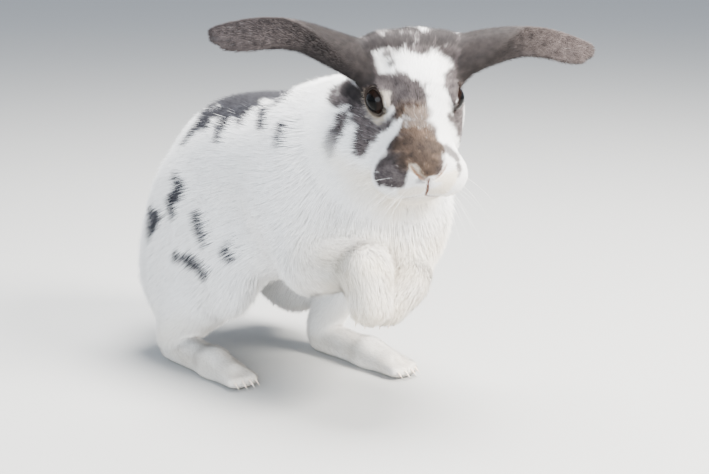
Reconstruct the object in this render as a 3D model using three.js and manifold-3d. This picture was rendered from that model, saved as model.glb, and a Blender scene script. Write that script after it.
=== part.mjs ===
// A life-size lop-eared rabbit, white with blue-grey markings, in a slow hop: it stands on its long hind
// feet with the fore body raised, both forepaws lifted and the lop ears held out to the sides.
//
// Millimetres, +Z up. The rabbit faces -Y, and its left side is +X. The solids give the outline of
// the coat. One smooth body field is built from round forms (ball, limb and ear sections that melt
// into each other), and thin cuts part it into the pieces that a person would name.

import * as THREE from "three";
import { edgeTable, triTable } from "three/addons/objects/MarchingCubes.js";
import { mergeVertices } from "three/addons/utils/BufferGeometryUtils.js";
import Module from "manifold-3d";

const wasm = await Module();
wasm.setup();

// ---------------------------------------------------------------- driving sizes

const CUT = 0.6; // width of the thin cut between two neighbouring pieces
const LEFT = 1;
const RIGHT = -1;

const EYE_RADIUS = 10;
const EYE_AT = [25.8, -8, 12.5]; // in the head's frame, mirrored for the right eye
const HIND_TOES = [-9.5, -3.4, 3.4, 9.5].map((x) => ({ x, end: -104 + Math.abs(x) * 0.35 }));
const FORE_TOES = [-10.8, -3.7, 3.7, 10.8].map((x) => ({ x, end: -31 + Math.abs(x) * 0.4 }));
const CLAW_LENGTH = 12;
const CLAW_RADIUS = 1.9;
const CUT_FACE_PITCH = 2; // the faces of the cuts are coarser than the outside
const FLATNESS = 0.1; // how far a facet may lie from the curved surface, as a share of the pitch
const HEAD_AT = [3, -136, 231]; // middle of the skull, between and behind the eyes
const HEAD_TURN = { yaw: -24.7, pitch: 38, roll: 0 }; // degrees: yaw to its left is positive, pitch nose down

// ---------------------------------------------------------------- fields
// A field is a function (x, y, z) => signed distance in mm, negative inside.

const radians = THREE.MathUtils.degToRad;

// An ellipsoid. turn tilts it about the side-to-side axis, in degrees, nose end down when positive.
function ball([cx, cy, cz], [rx, ry, rz], turn = 0) {
  const c = Math.cos(radians(turn));
  const s = Math.sin(radians(turn));
  return (x, y, z) => {
    const px = (x - cx) / rx;
    const dy = y - cy;
    const dz = z - cz;
    const py = (dy * c - dz * s) / ry;
    const pz = (dy * s + dz * c) / rz;
    const k0 = Math.hypot(px, py, pz);
    const k1 = Math.hypot(px / rx, py / ry, pz / rz);
    return k1 < 1e-9 ? -Math.min(rx, ry, rz) : (k0 * (k0 - 1)) / k1;
  };
}

// A round cone: a limb from a, of radius ra, to b, of radius rb.
function limb(a, b, ra, rb) {
  const ab = [b[0] - a[0], b[1] - a[1], b[2] - a[2]];
  const length2 = ab[0] ** 2 + ab[1] ** 2 + ab[2] ** 2;
  return (x, y, z) => {
    const p = [x - a[0], y - a[1], z - a[2]];
    const along = (p[0] * ab[0] + p[1] * ab[1] + p[2] * ab[2]) / length2;
    const t = Math.min(1, Math.max(0, along));
    const off = Math.hypot(p[0] - ab[0] * t, p[1] - ab[1] * t, p[2] - ab[2] * t);
    return off - (ra + (rb - ra) * t);
  };
}

// Joins two distances with a fillet about k wide.
function melt(a, b, k) {
  const h = Math.max(k - Math.abs(a - b), 0) / k;
  return Math.min(a, b) - (h * h * k) / 4;
}

// Joins fields one after another, each with its own fillet: join([field, k], [field, k], ...).
function join(...members) {
  return (x, y, z) => {
    let d = members[0][0](x, y, z);
    for (let i = 1; i < members.length; i++) d = melt(d, members[i][0](x, y, z), members[i][1]);
    return d;
  };
}

// The same field on both sides of the middle plane of its frame.
function bothSides(field) {
  return (x, y, z) => field(Math.abs(x), y, z);
}

// A matrix for a local frame at a point, turned by yaw, then pitch, then roll.
function frameAt([x, y, z], { yaw = 0, pitch = 0, roll = 0 }) {
  const turn = new THREE.Euler(radians(pitch), radians(roll), radians(yaw), "ZXY");
  return new THREE.Matrix4().makeRotationFromEuler(turn).setPosition(x, y, z);
}

function inFrame(matrix, field) {
  const e = matrix.clone().invert().elements;
  return (x, y, z) =>
    field(
      e[0] * x + e[4] * y + e[8] * z + e[12],
      e[1] * x + e[5] * y + e[9] * z + e[13],
      e[2] * x + e[6] * y + e[10] * z + e[14],
    );
}

// ---------------------------------------------------------------- the rabbit's forms

const headFrame = frameAt(HEAD_AT, HEAD_TURN);

// In the head's own frame the nose points to -Y.
const head = inFrame(
  headFrame,
  join(
    [ball([0, 14, 8], [32, 36, 33])],
    [limb([0, -4, 5], [0, -46, -8], 29, 20), 18], // forehead and bridge of the nose
    [bothSides(ball([23, -4, -17], [17, 31, 25])), 14], // cheeks
    [bothSides(ball([28, 16, -18], [17, 24, 27])), 14], // cheek ruff
    [ball([0, -48, -14], [27, 19, 22]), 12], // muzzle
    [bothSides(ball([16, -52, -20], [19, 15.5, 17])), 8], // whisker pads
    [ball([0, -60, -8], [9, 8, 9]), 8], // nose
    [ball([0, -46, -34], [15, 16, 12]), 10], // chin
    [bothSides(ball([25, -8, 20], [7, 16, 7])), 8], // brows
    [ball([0, 24, 36.5], [27, 16, 12.5]), 10], // crown
    [bothSides(ball([25, 23, 36], [15, 14, 11])), 10], // hair in front of the ears
  ),
);

// Ear: a curved trough about a centreline, its section an arc that opens downwards.
const EAR_STEPS = 24;
const EAR_LINE = {
  [RIGHT]: [
    [-18, 20, 22],
    [-36, 21.5, 35],
    [-59, 23, 45],
    [-85, 24, 54],
    [-110, 24, 56],
    [-131, 24, 52.5],
    [-142.5, 24, 49.5],
  ],
  [LEFT]: [
    [17, 20, 24],
    [35, 21.5, 37.5],
    [58, 21.5, 44.5],
    [81, 20, 47],
    [103, 18, 45],
    [121, 15, 40],
    [131, 13, 37],
  ],
};
function ear(side) {
  const line = new THREE.CatmullRomCurve3(EAR_LINE[side].map((p) => new THREE.Vector3(...p)));
  const stations = [];
  for (let i = 0; i <= EAR_STEPS; i++) {
    const t = i / EAR_STEPS;
    const along = line.getTangentAt(t);
    const across = new THREE.Vector3(0, 0.974, -0.225);
    across.addScaledVector(along, -across.dot(along)).normalize();
    const up = new THREE.Vector3().crossVectors(across, along).multiplyScalar(-side);
    const round = Math.sqrt(Math.max(0, 1 - Math.max(0, (t - 0.78) / 0.22) ** 2));
    stations.push({
      at: line.getPointAt(t),
      along,
      across,
      up: up.normalize(),
      radius: THREE.MathUtils.lerp(3, THREE.MathUtils.lerp(15, 11.5, Math.min(1, t * 1.8)), round),
      half: radians(THREE.MathUtils.lerp(115, 80, Math.min(1, t * 1.8))),
      thick: 4.6,
    });
  }
  const local = new THREE.Vector3();
  return inFrame(headFrame, (x, y, z) => {
    let best = Infinity;
    for (let i = 0; i < EAR_STEPS; i++) {
      const a = stations[i];
      const b = stations[i + 1];
      const ab = b.at.clone().sub(a.at);
      local.set(x, y, z).sub(a.at);
      const t = THREE.MathUtils.clamp(local.dot(ab) / ab.lengthSq(), 0, 1);
      local.addScaledVector(ab, -t);
      const u = Math.abs(THREE.MathUtils.lerp(local.dot(a.across), local.dot(b.across), t));
      const radius = THREE.MathUtils.lerp(a.radius, b.radius, t);
      const v = THREE.MathUtils.lerp(local.dot(a.up), local.dot(b.up), t) + radius;
      const w = THREE.MathUtils.lerp(local.dot(a.along), local.dot(b.along), t);
      const half = THREE.MathUtils.lerp(a.half, b.half, t);
      const thick = THREE.MathUtils.lerp(a.thick, b.thick, t);
      const past = Math.cos(half) * u > Math.sin(half) * v;
      const section = past
        ? Math.hypot(u - Math.sin(half) * radius, v - Math.cos(half) * radius)
        : Math.abs(Math.hypot(u, v) - radius);
      best = Math.min(best, Math.hypot(section, w) - thick);
    }
    return best;
  });
}

const neck = join(
  [limb([0, -78, 190], [0, -104, 208], 50, 38)],
  [limb([8, -92, 166], [4, -110, 184], 50, 38), 20], // throat
);

const trunk = join(
  [ball([0, 22, 155], [64, 104, 67], -4)], // rib cage and loin
  [bothSides(limb([20, -54, 181], [18, 50, 172], 41, 42)), 24], // shoulder blades and loin
  [ball([0, 86, 126], [65, 64, 75], -34), 30], // rump
  [ball([2, -56, 172], [59, 58, 62]), 34], // shoulders
  [ball([10, -96, 142], [52, 41, 54]), 26], // chest
  [limb([-44, -52, 150], [-45, -82, 112], 30, 25), 24], // right upper arm and elbow
  [limb([44, -56, 152], [41, -86, 122], 30, 25), 24], // left upper arm and elbow
  [bothSides(limb([26, -56, 120], [30, 16, 108], 26, 28)), 26], // belly
);

function haunch(side) {
  return join(
    [ball([47 * side, 72, 96], [33, 64, 68], -16)],
    [ball([58 * side, 88, 66], [23, 46, 42], -12), 24], // back of the thigh, over the hock
    [ball([56 * side, 16, 82], [22, 30, 36], 20), 20], // knee
  );
}

function shank(side) {
  return side === RIGHT
    ? limb([-60, 48, 58], [-64, 84, 26], 22, 16)
    : limb([54, -2, 72], [48, 28, 26], 21, 15);
}

// The feet have frames of their own: the toes point to -Y and the back of the foot is +Z.
const hindFrame = {
  [RIGHT]: frameAt([-64, 86, -1], { yaw: 0 }),
  [LEFT]: frameAt([48, 30, -1], { yaw: 3 }),
};
const foreFrame = {
  [RIGHT]: frameAt([-40, -143, 112], { yaw: -12, pitch: 82, roll: 0 }),
  [LEFT]: frameAt([2, -130, 96], { yaw: -84, pitch: 38, roll: 0 }),
};

function hindFoot(side) {
  return inFrame(
    hindFrame[side],
    join(
      [limb([0, 0, 14.5], [0, -62, 12.5], 14, 12.5)],
      [limb([0, -60, 12.5], [0, -88, 10.5], 12.5, 10.5), 10],
      ...HIND_TOES.map((toe) => [limb([toe.x * 0.45, -68, 11.5], [toe.x, toe.end, 8.5], 7.4, 5.6), 5]),
    ),
  );
}

function foreleg(side) {
  return side === RIGHT
    ? limb([-43, -84, 114], [-41, -137, 117], 24, 17.2)
    : limb([38, -90, 124], [4, -129, 98], 24, 16.5);
}

function forepaw(side) {
  return inFrame(
    foreFrame[side],
    join(
      [limb([0, 4, 0], [0, -20, 0], 18.6, 17.2)],
      ...FORE_TOES.map((toe) => [limb([toe.x * 0.8, -18, 0], [toe.x, toe.end, -1], 8, 6.8), 4]),
    ),
  );
}

const tail = join(
  [limb([0, 136, 102], [0, 156, 106], 20, 19)],
  [limb([0, 156, 106], [0, 164, 134], 18, 12), 12],
);

// Every piece of flesh, in the order in which it is cut off. k is the fillet that joins it on.
const flesh = [
  { name: "ear_left", field: ear(LEFT), k: 8, pitch: 6.2, colour: "greyCoat" },
  { name: "ear_right", field: ear(RIGHT), k: 8, pitch: 6.2, colour: "greyCoat" },
  { name: "tail", field: tail, k: 10, pitch: 10.5, colour: "whiteCoat" },
  { name: "hind_foot_left", field: hindFoot(LEFT), k: 8, pitch: 8.6, colour: "whiteCoat" },
  { name: "hind_foot_right", field: hindFoot(RIGHT), k: 8, pitch: 8.6, colour: "whiteCoat" },
  { name: "hind_shank_left", field: shank(LEFT), k: 12, pitch: 11, colour: "whiteCoat" },
  { name: "hind_shank_right", field: shank(RIGHT), k: 12, pitch: 11, colour: "whiteCoat" },
  { name: "haunch_left", field: haunch(LEFT), k: 28, pitch: 15.8, colour: "whiteCoat" },
  { name: "haunch_right", field: haunch(RIGHT), k: 28, pitch: 15.8, colour: "whiteCoat" },
  { name: "forepaw_left", field: forepaw(LEFT), k: 13, pitch: 9, colour: "whiteCoat" },
  { name: "forepaw_right", field: forepaw(RIGHT), k: 13, pitch: 9, colour: "whiteCoat" },
  { name: "foreleg_left", field: foreleg(LEFT), k: 18, pitch: 11, colour: "whiteCoat" },
  { name: "foreleg_right", field: foreleg(RIGHT), k: 18, pitch: 11, colour: "whiteCoat" },
  { name: "head", field: head, k: 16, pitch: 9.7, colour: "whiteCoat" },
  { name: "neck", field: neck, k: 40, pitch: 17.4, colour: "whiteCoat" },
  { name: "trunk", field: trunk, k: 0, pitch: 18, colour: "whiteCoat" },
];

const SOLE = 0; // the hind feet stand flat at this level

// The whole body, cut flat where the feet stand.
function body(x, y, z) {
  let d = flesh[flesh.length - 1].field(x, y, z);
  for (let i = flesh.length - 2; i >= 0; i--) d = melt(d, flesh[i].field(x, y, z), flesh[i].k);
  return d;
}

// ---------------------------------------------------------------- fields into solids

const CORNERS = [
  [0, 0, 0], [1, 0, 0], [1, 1, 0], [0, 1, 0],
  [0, 0, 1], [1, 0, 1], [1, 1, 1], [0, 1, 1],
];
const EDGES = [
  [0, 1], [1, 2], [3, 2], [0, 3], [4, 5], [5, 6], [7, 6], [4, 7], [0, 4], [1, 5], [2, 6], [3, 7],
];
const RELAX_ROUNDS = 3;

// The surface of a field inside a box, as a closed indexed geometry with even triangles.
function surfaceOf(field, box, pitch) {
  const size = box.getSize(new THREE.Vector3());
  const [nx, ny, nz] = size.toArray().map((s) => Math.ceil(s / pitch) + 1);
  const at = (i, j, k) => [box.min.x + i * pitch, box.min.y + j * pitch, box.min.z + k * pitch];
  const index = (i, j, k) => i + nx * (j + ny * k);
  const value = new Float64Array(nx * ny * nz);
  for (let k = 0; k < nz; k++)
    for (let j = 0; j < ny; j++)
      for (let i = 0; i < nx; i++) {
        const rim = i === 0 || j === 0 || k === 0 || i === nx - 1 || j === ny - 1 || k === nz - 1;
        value[index(i, j, k)] = rim ? pitch / 2 : field(...at(i, j, k)) || 1e-6;
      }
  const places = [];
  const triangles = [];
  const known = new Map();
  const corner = new Array(8);
  for (let k = 0; k < nz - 1; k++)
    for (let j = 0; j < ny - 1; j++)
      for (let i = 0; i < nx - 1; i++) {
        let kind = 0;
        for (let c = 0; c < 8; c++) {
          corner[c] = index(i + CORNERS[c][0], j + CORNERS[c][1], k + CORNERS[c][2]);
          if (value[corner[c]] > 0) kind |= 1 << c;
        }
        if (!edgeTable[kind]) continue;
        for (let t = kind * 16; triTable[t] !== -1; t++) {
          const [c0, c1] = EDGES[triTable[t]];
          const key = corner[c0] * 3 + [1, nx, nx * ny].indexOf(corner[c1] - corner[c0]);
          let vertex = known.get(key);
          if (vertex === undefined) {
            const a = value[corner[c0]];
            const b = value[corner[c1]];
            const share = THREE.MathUtils.clamp(a / (a - b), 0.12, 0.88);
            const p = at(i + CORNERS[c0][0], j + CORNERS[c0][1], k + CORNERS[c0][2]);
            for (let axis = 0; axis < 3; axis++)
              p[axis] += (CORNERS[c1][axis] - CORNERS[c0][axis]) * pitch * share;
            vertex = places.push(p) - 1;
            known.set(key, vertex);
          }
          triangles.push(vertex);
        }
      }
  relax(places, triangles, field, box, pitch);
  const geometry = new THREE.BufferGeometry();
  geometry.setAttribute("position", new THREE.Float32BufferAttribute(places.flat(), 3));
  geometry.setIndex(triangles);
  return geometry;
}

// Evens the triangles out, and brings each vertex back to the field's surface.
function relax(places, triangles, field, box, pitch) {
  const near = places.map(() => new Set());
  for (let t = 0; t < triangles.length; t += 3)
    for (let e = 0; e < 3; e++) {
      near[triangles[t + e]].add(triangles[t + ((e + 1) % 3)]);
      near[triangles[t + e]].add(triangles[t + ((e + 2) % 3)]);
    }
  const inner = box.clone().expandByScalar(-1.6 * pitch);
  const point = new THREE.Vector3();
  const step = 0.5;
  for (let round = 0; round < RELAX_ROUNDS; round++) {
    const moved = places.map((p, i) => {
      if (!inner.containsPoint(point.fromArray(p))) return p;
      const mean = [0, 0, 0];
      for (const n of near[i]) for (let axis = 0; axis < 3; axis++) mean[axis] += places[n][axis];
      return p.map((x, axis) => 0.4 * x + (0.6 * mean[axis]) / near[i].size);
    });
    moved.forEach((p, i) => {
      if (!inner.containsPoint(point.fromArray(places[i]))) return;
      const d = field(...p);
      const slope = [0, 1, 2].map((axis) => {
        const q = [...p];
        q[axis] += step;
        return (field(...q) - d) / step;
      });
      const square = slope[0] ** 2 + slope[1] ** 2 + slope[2] ** 2;
      if (square < 0.05) return;
      const reach = THREE.MathUtils.clamp(d / square, -pitch / 2, pitch / 2);
      places[i] = p.map((x, axis) => x - slope[axis] * reach);
    });
  }
}

// Only the places of a geometry, with vertices at the same place made one.
function bareOf(geometry) {
  const bare = new THREE.BufferGeometry();
  bare.setAttribute("position", geometry.attributes.position.clone());
  if (geometry.index) bare.setIndex(geometry.index.clone());
  return mergeVertices(bare, 1e-4);
}

function solidOf(geometry) {
  const bare = bareOf(geometry);
  const index = new Uint32Array(bare.index.array);
  const make = () =>
    new wasm.Manifold(
      new wasm.Mesh({
        numProp: 3,
        vertProperties: new Float32Array(bare.attributes.position.array),
        triVerts: index,
      }),
    );
  const made = make();
  if (made.volume() >= 0) return made;
  for (let i = 0; i < index.length; i += 3) [index[i + 1], index[i + 2]] = [index[i + 2], index[i + 1]];
  return make();
}

// The same closed surface with every vertex moved outwards.
function swollen(geometry, by) {
  const grown = bareOf(geometry);
  grown.computeVertexNormals();
  const p = grown.attributes.position;
  const n = grown.attributes.normal;
  for (let i = 0; i < p.count; i++)
    p.setXYZ(i, p.getX(i) + n.getX(i) * by, p.getY(i) + n.getY(i) * by, p.getZ(i) + n.getZ(i) * by);
  return grown;
}

// The box that holds a field's inside, found on a coarse grid, with a margin.
const SEARCH = new THREE.Box3(new THREE.Vector3(-175, -235, -20), new THREE.Vector3(175, 175, 300));
function extentOf(field, margin) {
  const box = new THREE.Box3();
  const step = 5;
  for (let x = SEARCH.min.x; x < SEARCH.max.x; x += step)
    for (let y = SEARCH.min.y; y < SEARCH.max.y; y += step)
      for (let z = SEARCH.min.z; z < SEARCH.max.z; z += step)
        if (field(x, y, z) < step) box.expandByPoint(new THREE.Vector3(x, y, z));
  return box.expandByScalar(margin);
}

const materials = {
  whiteCoat: new THREE.MeshStandardMaterial({ color: 0xe9e7e4, roughness: 0.9, metalness: 0 }),
  greyCoat: new THREE.MeshStandardMaterial({ color: 0x6d6663, roughness: 0.9, metalness: 0 }),
  eye: new THREE.MeshStandardMaterial({ color: 0x0d0a09, roughness: 0.05, metalness: 0 }),
  claw: new THREE.MeshStandardMaterial({ color: 0x8a7768, roughness: 0.4, metalness: 0 }),
};

function geometryOf(solid) {
  const mesh = solid.getMesh();
  const n = mesh.numProp;
  const places = new Float32Array(mesh.numVert * 3);
  for (let i = 0; i < mesh.numVert; i++) places.set(mesh.vertProperties.subarray(i * n, i * n + 3), i * 3);
  const geometry = new THREE.BufferGeometry();
  geometry.setAttribute("position", new THREE.BufferAttribute(places, 3));
  geometry.setIndex(new THREE.BufferAttribute(mesh.triVerts, 1));
  return geometry;
}

function largest(solid) {
  return solid.decompose().sort((a, b) => b.volume() - a.volume())[0];
}

// ---------------------------------------------------------------- eyes and claws

const eyeAndClawCutters = [];
const pieces = [];

function addEye(side) {
  const centre = new THREE.Vector3(EYE_AT[0] * side, EYE_AT[1], EYE_AT[2]);
  const outward = new THREE.Vector3(0.9 * side, -0.42, 0.1).normalize();
  const placed = centre.clone().applyMatrix4(headFrame);
  const facing = outward.clone().transformDirection(headFrame);
  const globe = new THREE.IcosahedronGeometry(EYE_RADIUS, 2).translate(...placed.toArray());
  pieces.push({ name: side === LEFT ? "eye_left" : "eye_right", solid: solidOf(globe), colour: "eye" });
  const opening = new THREE.CylinderGeometry(EYE_RADIUS * 1.35, EYE_RADIUS * 0.6, 12, 14);
  opening.translate(0, 6 + EYE_RADIUS * 0.42, 0);
  opening.applyQuaternion(new THREE.Quaternion().setFromUnitVectors(new THREE.Vector3(0, 1, 0), facing));
  opening.translate(...placed.toArray());
  eyeAndClawCutters.push(solidOf(swollen(globe, CUT)), solidOf(opening));
}

// A claw: a thin cone, bent towards the sole. In the foot's frame it starts at "from".
function addClaw(name, frame, from, turn) {
  const cone = new THREE.ConeGeometry(CLAW_RADIUS, CLAW_LENGTH, 6, 2).translate(0, CLAW_LENGTH / 2, 0);
  cone.rotateX(Math.PI);
  const p = cone.attributes.position;
  for (let i = 0; i < p.count; i++) p.setZ(i, p.getZ(i) - 3 * (p.getY(i) / CLAW_LENGTH) ** 2);
  cone.rotateX(radians(14)).rotateZ(radians(turn)).translate(...from).applyMatrix4(frame);
  pieces.push({ name, solid: solidOf(cone), colour: "claw" });
  eyeAndClawCutters.push(solidOf(swollen(cone, CUT)));
}

function addClaws(side) {
  const sideName = side === LEFT ? "left" : "right";
  HIND_TOES.forEach((toe, i) =>
    addClaw(`claw_hind_${sideName}_${i + 1}`, hindFrame[side], [toe.x, toe.end + 0.5, 9.5], 0),
  );
  FORE_TOES.forEach((toe, i) =>
    addClaw(`claw_fore_${sideName}_${i + 1}`, foreFrame[side], [toe.x, toe.end + 0.5, 0], 0),
  );
  addClaw(`claw_dew_${sideName}`, foreFrame[side], [-12 * side, -14, -5], -12 * side);
}

addEye(LEFT);
addEye(RIGHT);
addClaws(LEFT);
addClaws(RIGHT);

// ---------------------------------------------------------------- the flesh, cut into pieces

const floorCut = solidOf(new THREE.BoxGeometry(600, 600, 100).translate(0, 0, SOLE - 50));

// Each piece is the body inside its own territory: the points nearer to it than to what is left.
const cutters = [];
flesh.forEach((piece, order) => {
  const rest = flesh.slice(order + 1);
  const margin = Math.max(piece.k, 12) + 2 * piece.pitch;
  const box = extentOf(piece.field, margin);
  let solid = solidOf(surfaceOf(body, box, piece.pitch)).simplify(FLATNESS * piece.pitch);
  if (rest.length) {
    const territory = (x, y, z) => {
      let others = Infinity;
      for (const other of rest) others = Math.min(others, other.field(x, y, z));
      return (piece.field(x, y, z) - others) / 2;
    };
    const widePitch = piece.pitch * CUT_FACE_PITCH;
    const inner = box.clone().expandByScalar(-1.2 * piece.pitch);
    const wide = solidOf(surfaceOf(territory, inner, widePitch)).simplify(FLATNESS * piece.pitch);
    solid = solid.intersect(wide);
    for (const cutter of cutters) solid = solid.subtract(cutter);
    cutters.push(solidOf(swollen(geometryOf(wide), CUT)));
  } else {
    for (const cutter of cutters) solid = solid.subtract(cutter);
  }
  for (const cutter of eyeAndClawCutters) solid = solid.subtract(cutter);
  solid = largest(solid.subtract(floorCut)).asOriginal().simplify(CUT * 0.4);
  pieces.push({ name: piece.name, solid, colour: piece.colour });
});

const rabbit = new THREE.Group();
const box = new THREE.Box3();
for (const piece of pieces) {
  const mesh = new THREE.Mesh(geometryOf(piece.solid), materials[piece.colour]);
  mesh.name = piece.name;
  mesh.geometry.computeBoundingBox();
  box.union(mesh.geometry.boundingBox);
  rabbit.add(mesh);
}

// The origin lies on the floor, under the middle of the rabbit's box.
for (const mesh of rabbit.children)
  mesh.geometry.translate(-(box.min.x + box.max.x) / 2, -(box.min.y + box.max.y) / 2, -box.min.z);

export default rabbit;
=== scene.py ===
"""A life-size lop-eared rabbit in a slow hop: skin, coat, eyes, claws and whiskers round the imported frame."""

import math

import bmesh
import bpy
import numpy as np
from mathutils import Matrix, Vector
from mathutils.kdtree import KDTree


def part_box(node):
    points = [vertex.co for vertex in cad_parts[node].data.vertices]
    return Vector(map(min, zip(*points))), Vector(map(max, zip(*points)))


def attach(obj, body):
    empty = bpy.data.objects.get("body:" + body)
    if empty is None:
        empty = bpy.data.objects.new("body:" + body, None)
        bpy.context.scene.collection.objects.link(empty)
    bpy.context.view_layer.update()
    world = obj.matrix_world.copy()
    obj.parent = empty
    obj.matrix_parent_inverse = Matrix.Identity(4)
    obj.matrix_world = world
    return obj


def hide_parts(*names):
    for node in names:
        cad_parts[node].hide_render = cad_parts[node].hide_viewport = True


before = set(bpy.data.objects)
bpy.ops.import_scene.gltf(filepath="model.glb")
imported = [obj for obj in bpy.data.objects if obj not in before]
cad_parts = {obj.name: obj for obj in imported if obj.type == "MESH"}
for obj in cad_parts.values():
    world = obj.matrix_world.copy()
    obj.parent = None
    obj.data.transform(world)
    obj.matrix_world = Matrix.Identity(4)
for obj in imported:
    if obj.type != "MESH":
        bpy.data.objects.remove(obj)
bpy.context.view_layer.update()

MM = 0.001
LEFT, RIGHT = 1, -1
SIDES = {"left": LEFT, "right": RIGHT}

# ---------------------------------------------------------------- sizes, in mm, in the rabbit's own frame
# The rabbit faces -Y and its left side is +X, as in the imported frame, but the origin differs:
# PLACE moves the one onto the other, found from where the right eye lies in both.

HEAD_AT = (3, -136, 231)
HEAD_YAW, HEAD_PITCH = -24.7, 38
EYE_RADIUS = 10
EYE_AT = (25.8, -8, 12.5)
HIND_TOES = [(x, -104 + abs(x) * 0.35) for x in (-9.5, -3.4, 3.4, 9.5)]
FORE_TOES = [(x, -31 + abs(x) * 0.4) for x in (-10.8, -3.7, 3.7, 10.8)]


def turning(yaw=0.0, pitch=0.0, roll=0.0):
    """Rotation of a local frame: yaw to the rabbit's left, pitch nose down, in degrees."""
    return (
        Matrix.Rotation(math.radians(yaw), 3, "Z")
        @ Matrix.Rotation(math.radians(pitch), 3, "X")
        @ Matrix.Rotation(math.radians(roll), 3, "Y")
    )


def frame_at(place, **turn):
    return np.array(turning(**turn)), np.array(place, float)


def to_world(local_frame, points):
    turn, place = local_frame
    return np.asarray(points, float) @ turn.T + place


def to_local(local_frame, points):
    turn, place = local_frame
    return (points - place) @ turn


HEAD = frame_at(HEAD_AT, yaw=HEAD_YAW, pitch=HEAD_PITCH)
HIND = {
    RIGHT: frame_at((-64, 86, -1)),
    LEFT: frame_at((48, 30, -1), yaw=3),
}
FORE = {
    RIGHT: frame_at((-40, -143, 112), yaw=-12, pitch=82),
    LEFT: frame_at((2, -130, 96), yaw=-84, pitch=38),
}

# ---------------------------------------------------------------- fields
# A field takes an (n, 3) array of points and gives n signed distances, negative inside.


def lengths(v):
    return np.sqrt(np.einsum("ij,ij->i", v, v))


def ball(centre, radii, turn=0.0):
    """An ellipsoid, tilted about the side-to-side axis, nose end down when turn is positive."""
    c, s = math.cos(math.radians(turn)), math.sin(math.radians(turn))
    spin = np.array([[1, 0, 0], [0, c, s], [0, -s, c]])
    radii = np.array(radii, float)

    def field(p):
        q = ((p - centre) @ spin) / radii
        k0 = lengths(q)
        k1 = lengths(q / radii)
        return np.where(k1 < 1e-9, -radii.min(), k0 * (k0 - 1) / np.maximum(k1, 1e-9))

    return field


def limb(a, b, ra, rb):
    """A round cone from a, of radius ra, to b, of radius rb."""
    a, b = np.array(a, float), np.array(b, float)
    ab = b - a

    def field(p):
        q = p - a
        t = np.clip(q @ ab / (ab @ ab), 0, 1)
        return lengths(q - t[:, None] * ab) - (ra + (rb - ra) * t)

    return field


def melt(a, b, k):
    """Joins two distances with a fillet about k wide."""
    h = np.maximum(k - np.abs(a - b), 0) / k
    return np.minimum(a, b) - h * h * k / 4


def carve(a, b, k):
    """Cuts b out of a with a rounded edge about k wide."""
    return -melt(-a, b, k)


def join(first, *others):
    def field(p):
        d = first(p)
        for other, k in others:
            d = melt(d, other(p), k)
        return d

    return field


def both_sides(field):
    return lambda p: field(np.column_stack([np.abs(p[:, 0]), p[:, 1], p[:, 2]]))


def in_frame(local_frame, field):
    return lambda p: field(to_local(local_frame, p))


# ---------------------------------------------------------------- ears

EAR_STEPS = 24
EAR_WALL = 4.6  # half the thickness of the wall, coat and all
EAR_RADIUS = (15, 11.5)  # of the arc, at the root and further out
EAR_OPENING = (115, 80)  # half the arc, in degrees, at the root and further out
EAR_WIDENING = 1.8  # the outer values hold beyond 1 / 1.8 of the length
EAR_TIP_FROM, EAR_TIP_PART, EAR_TIP_RADIUS = 0.78, 0.22, 3  # where along it the tip begins to round off
EAR_MARGIN, FAR = 40, 60.0  # outside the margin an ear counts as this far away
EAR_LINE = {
    RIGHT: [
        (-18, 20, 22), (-36, 21.5, 35), (-59, 23, 45), (-85, 24, 54),
        (-110, 24, 56), (-131, 24, 52.5), (-142.5, 24, 49.5),
    ],
    LEFT: [
        (17, 20, 24), (35, 21.5, 37.5), (58, 21.5, 44.5), (81, 20, 47),
        (103, 18, 45), (121, 15, 40), (131, 13, 37),
    ],
}


def smooth_line(points, count):
    """count + 1 evenly spaced points on a smooth curve through points, and the curve's direction there."""
    p = np.array(points, float)
    p = np.vstack([2 * p[0] - p[1], p, 2 * p[-1] - p[-2]])
    fine = []
    for i in range(len(p) - 3):
        x0, x1, x2, x3 = p[i:i + 4]
        d0, d1, d2 = (math.sqrt(np.linalg.norm(b - a)) for a, b in ((x0, x1), (x1, x2), (x2, x3)))
        t1 = ((x1 - x0) / d0 - (x2 - x0) / (d0 + d1) + (x2 - x1) / d1) * d1
        t2 = ((x2 - x1) / d1 - (x3 - x1) / (d1 + d2) + (x3 - x2) / d2) * d1
        t = np.linspace(0, 1, 60)[:, None]
        fine.append(
            x1 + t1 * t + (-3 * x1 + 3 * x2 - 2 * t1 - t2) * t**2 + (2 * x1 - 2 * x2 + t1 + t2) * t**3
        )
    fine = np.vstack(fine)
    run = np.concatenate([[0], np.cumsum(lengths(np.diff(fine, axis=0)))])
    at = np.linspace(0, run[-1], count + 1)
    line = np.column_stack([np.interp(at, run, fine[:, axis]) for axis in range(3)])
    ahead = np.column_stack([np.interp(np.minimum(at + 1, run[-1]), run, fine[:, axis]) for axis in range(3)])
    behind = np.column_stack([np.interp(np.maximum(at - 1, 0), run, fine[:, axis]) for axis in range(3)])
    along = ahead - behind
    return line, along / lengths(along)[:, None]


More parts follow.
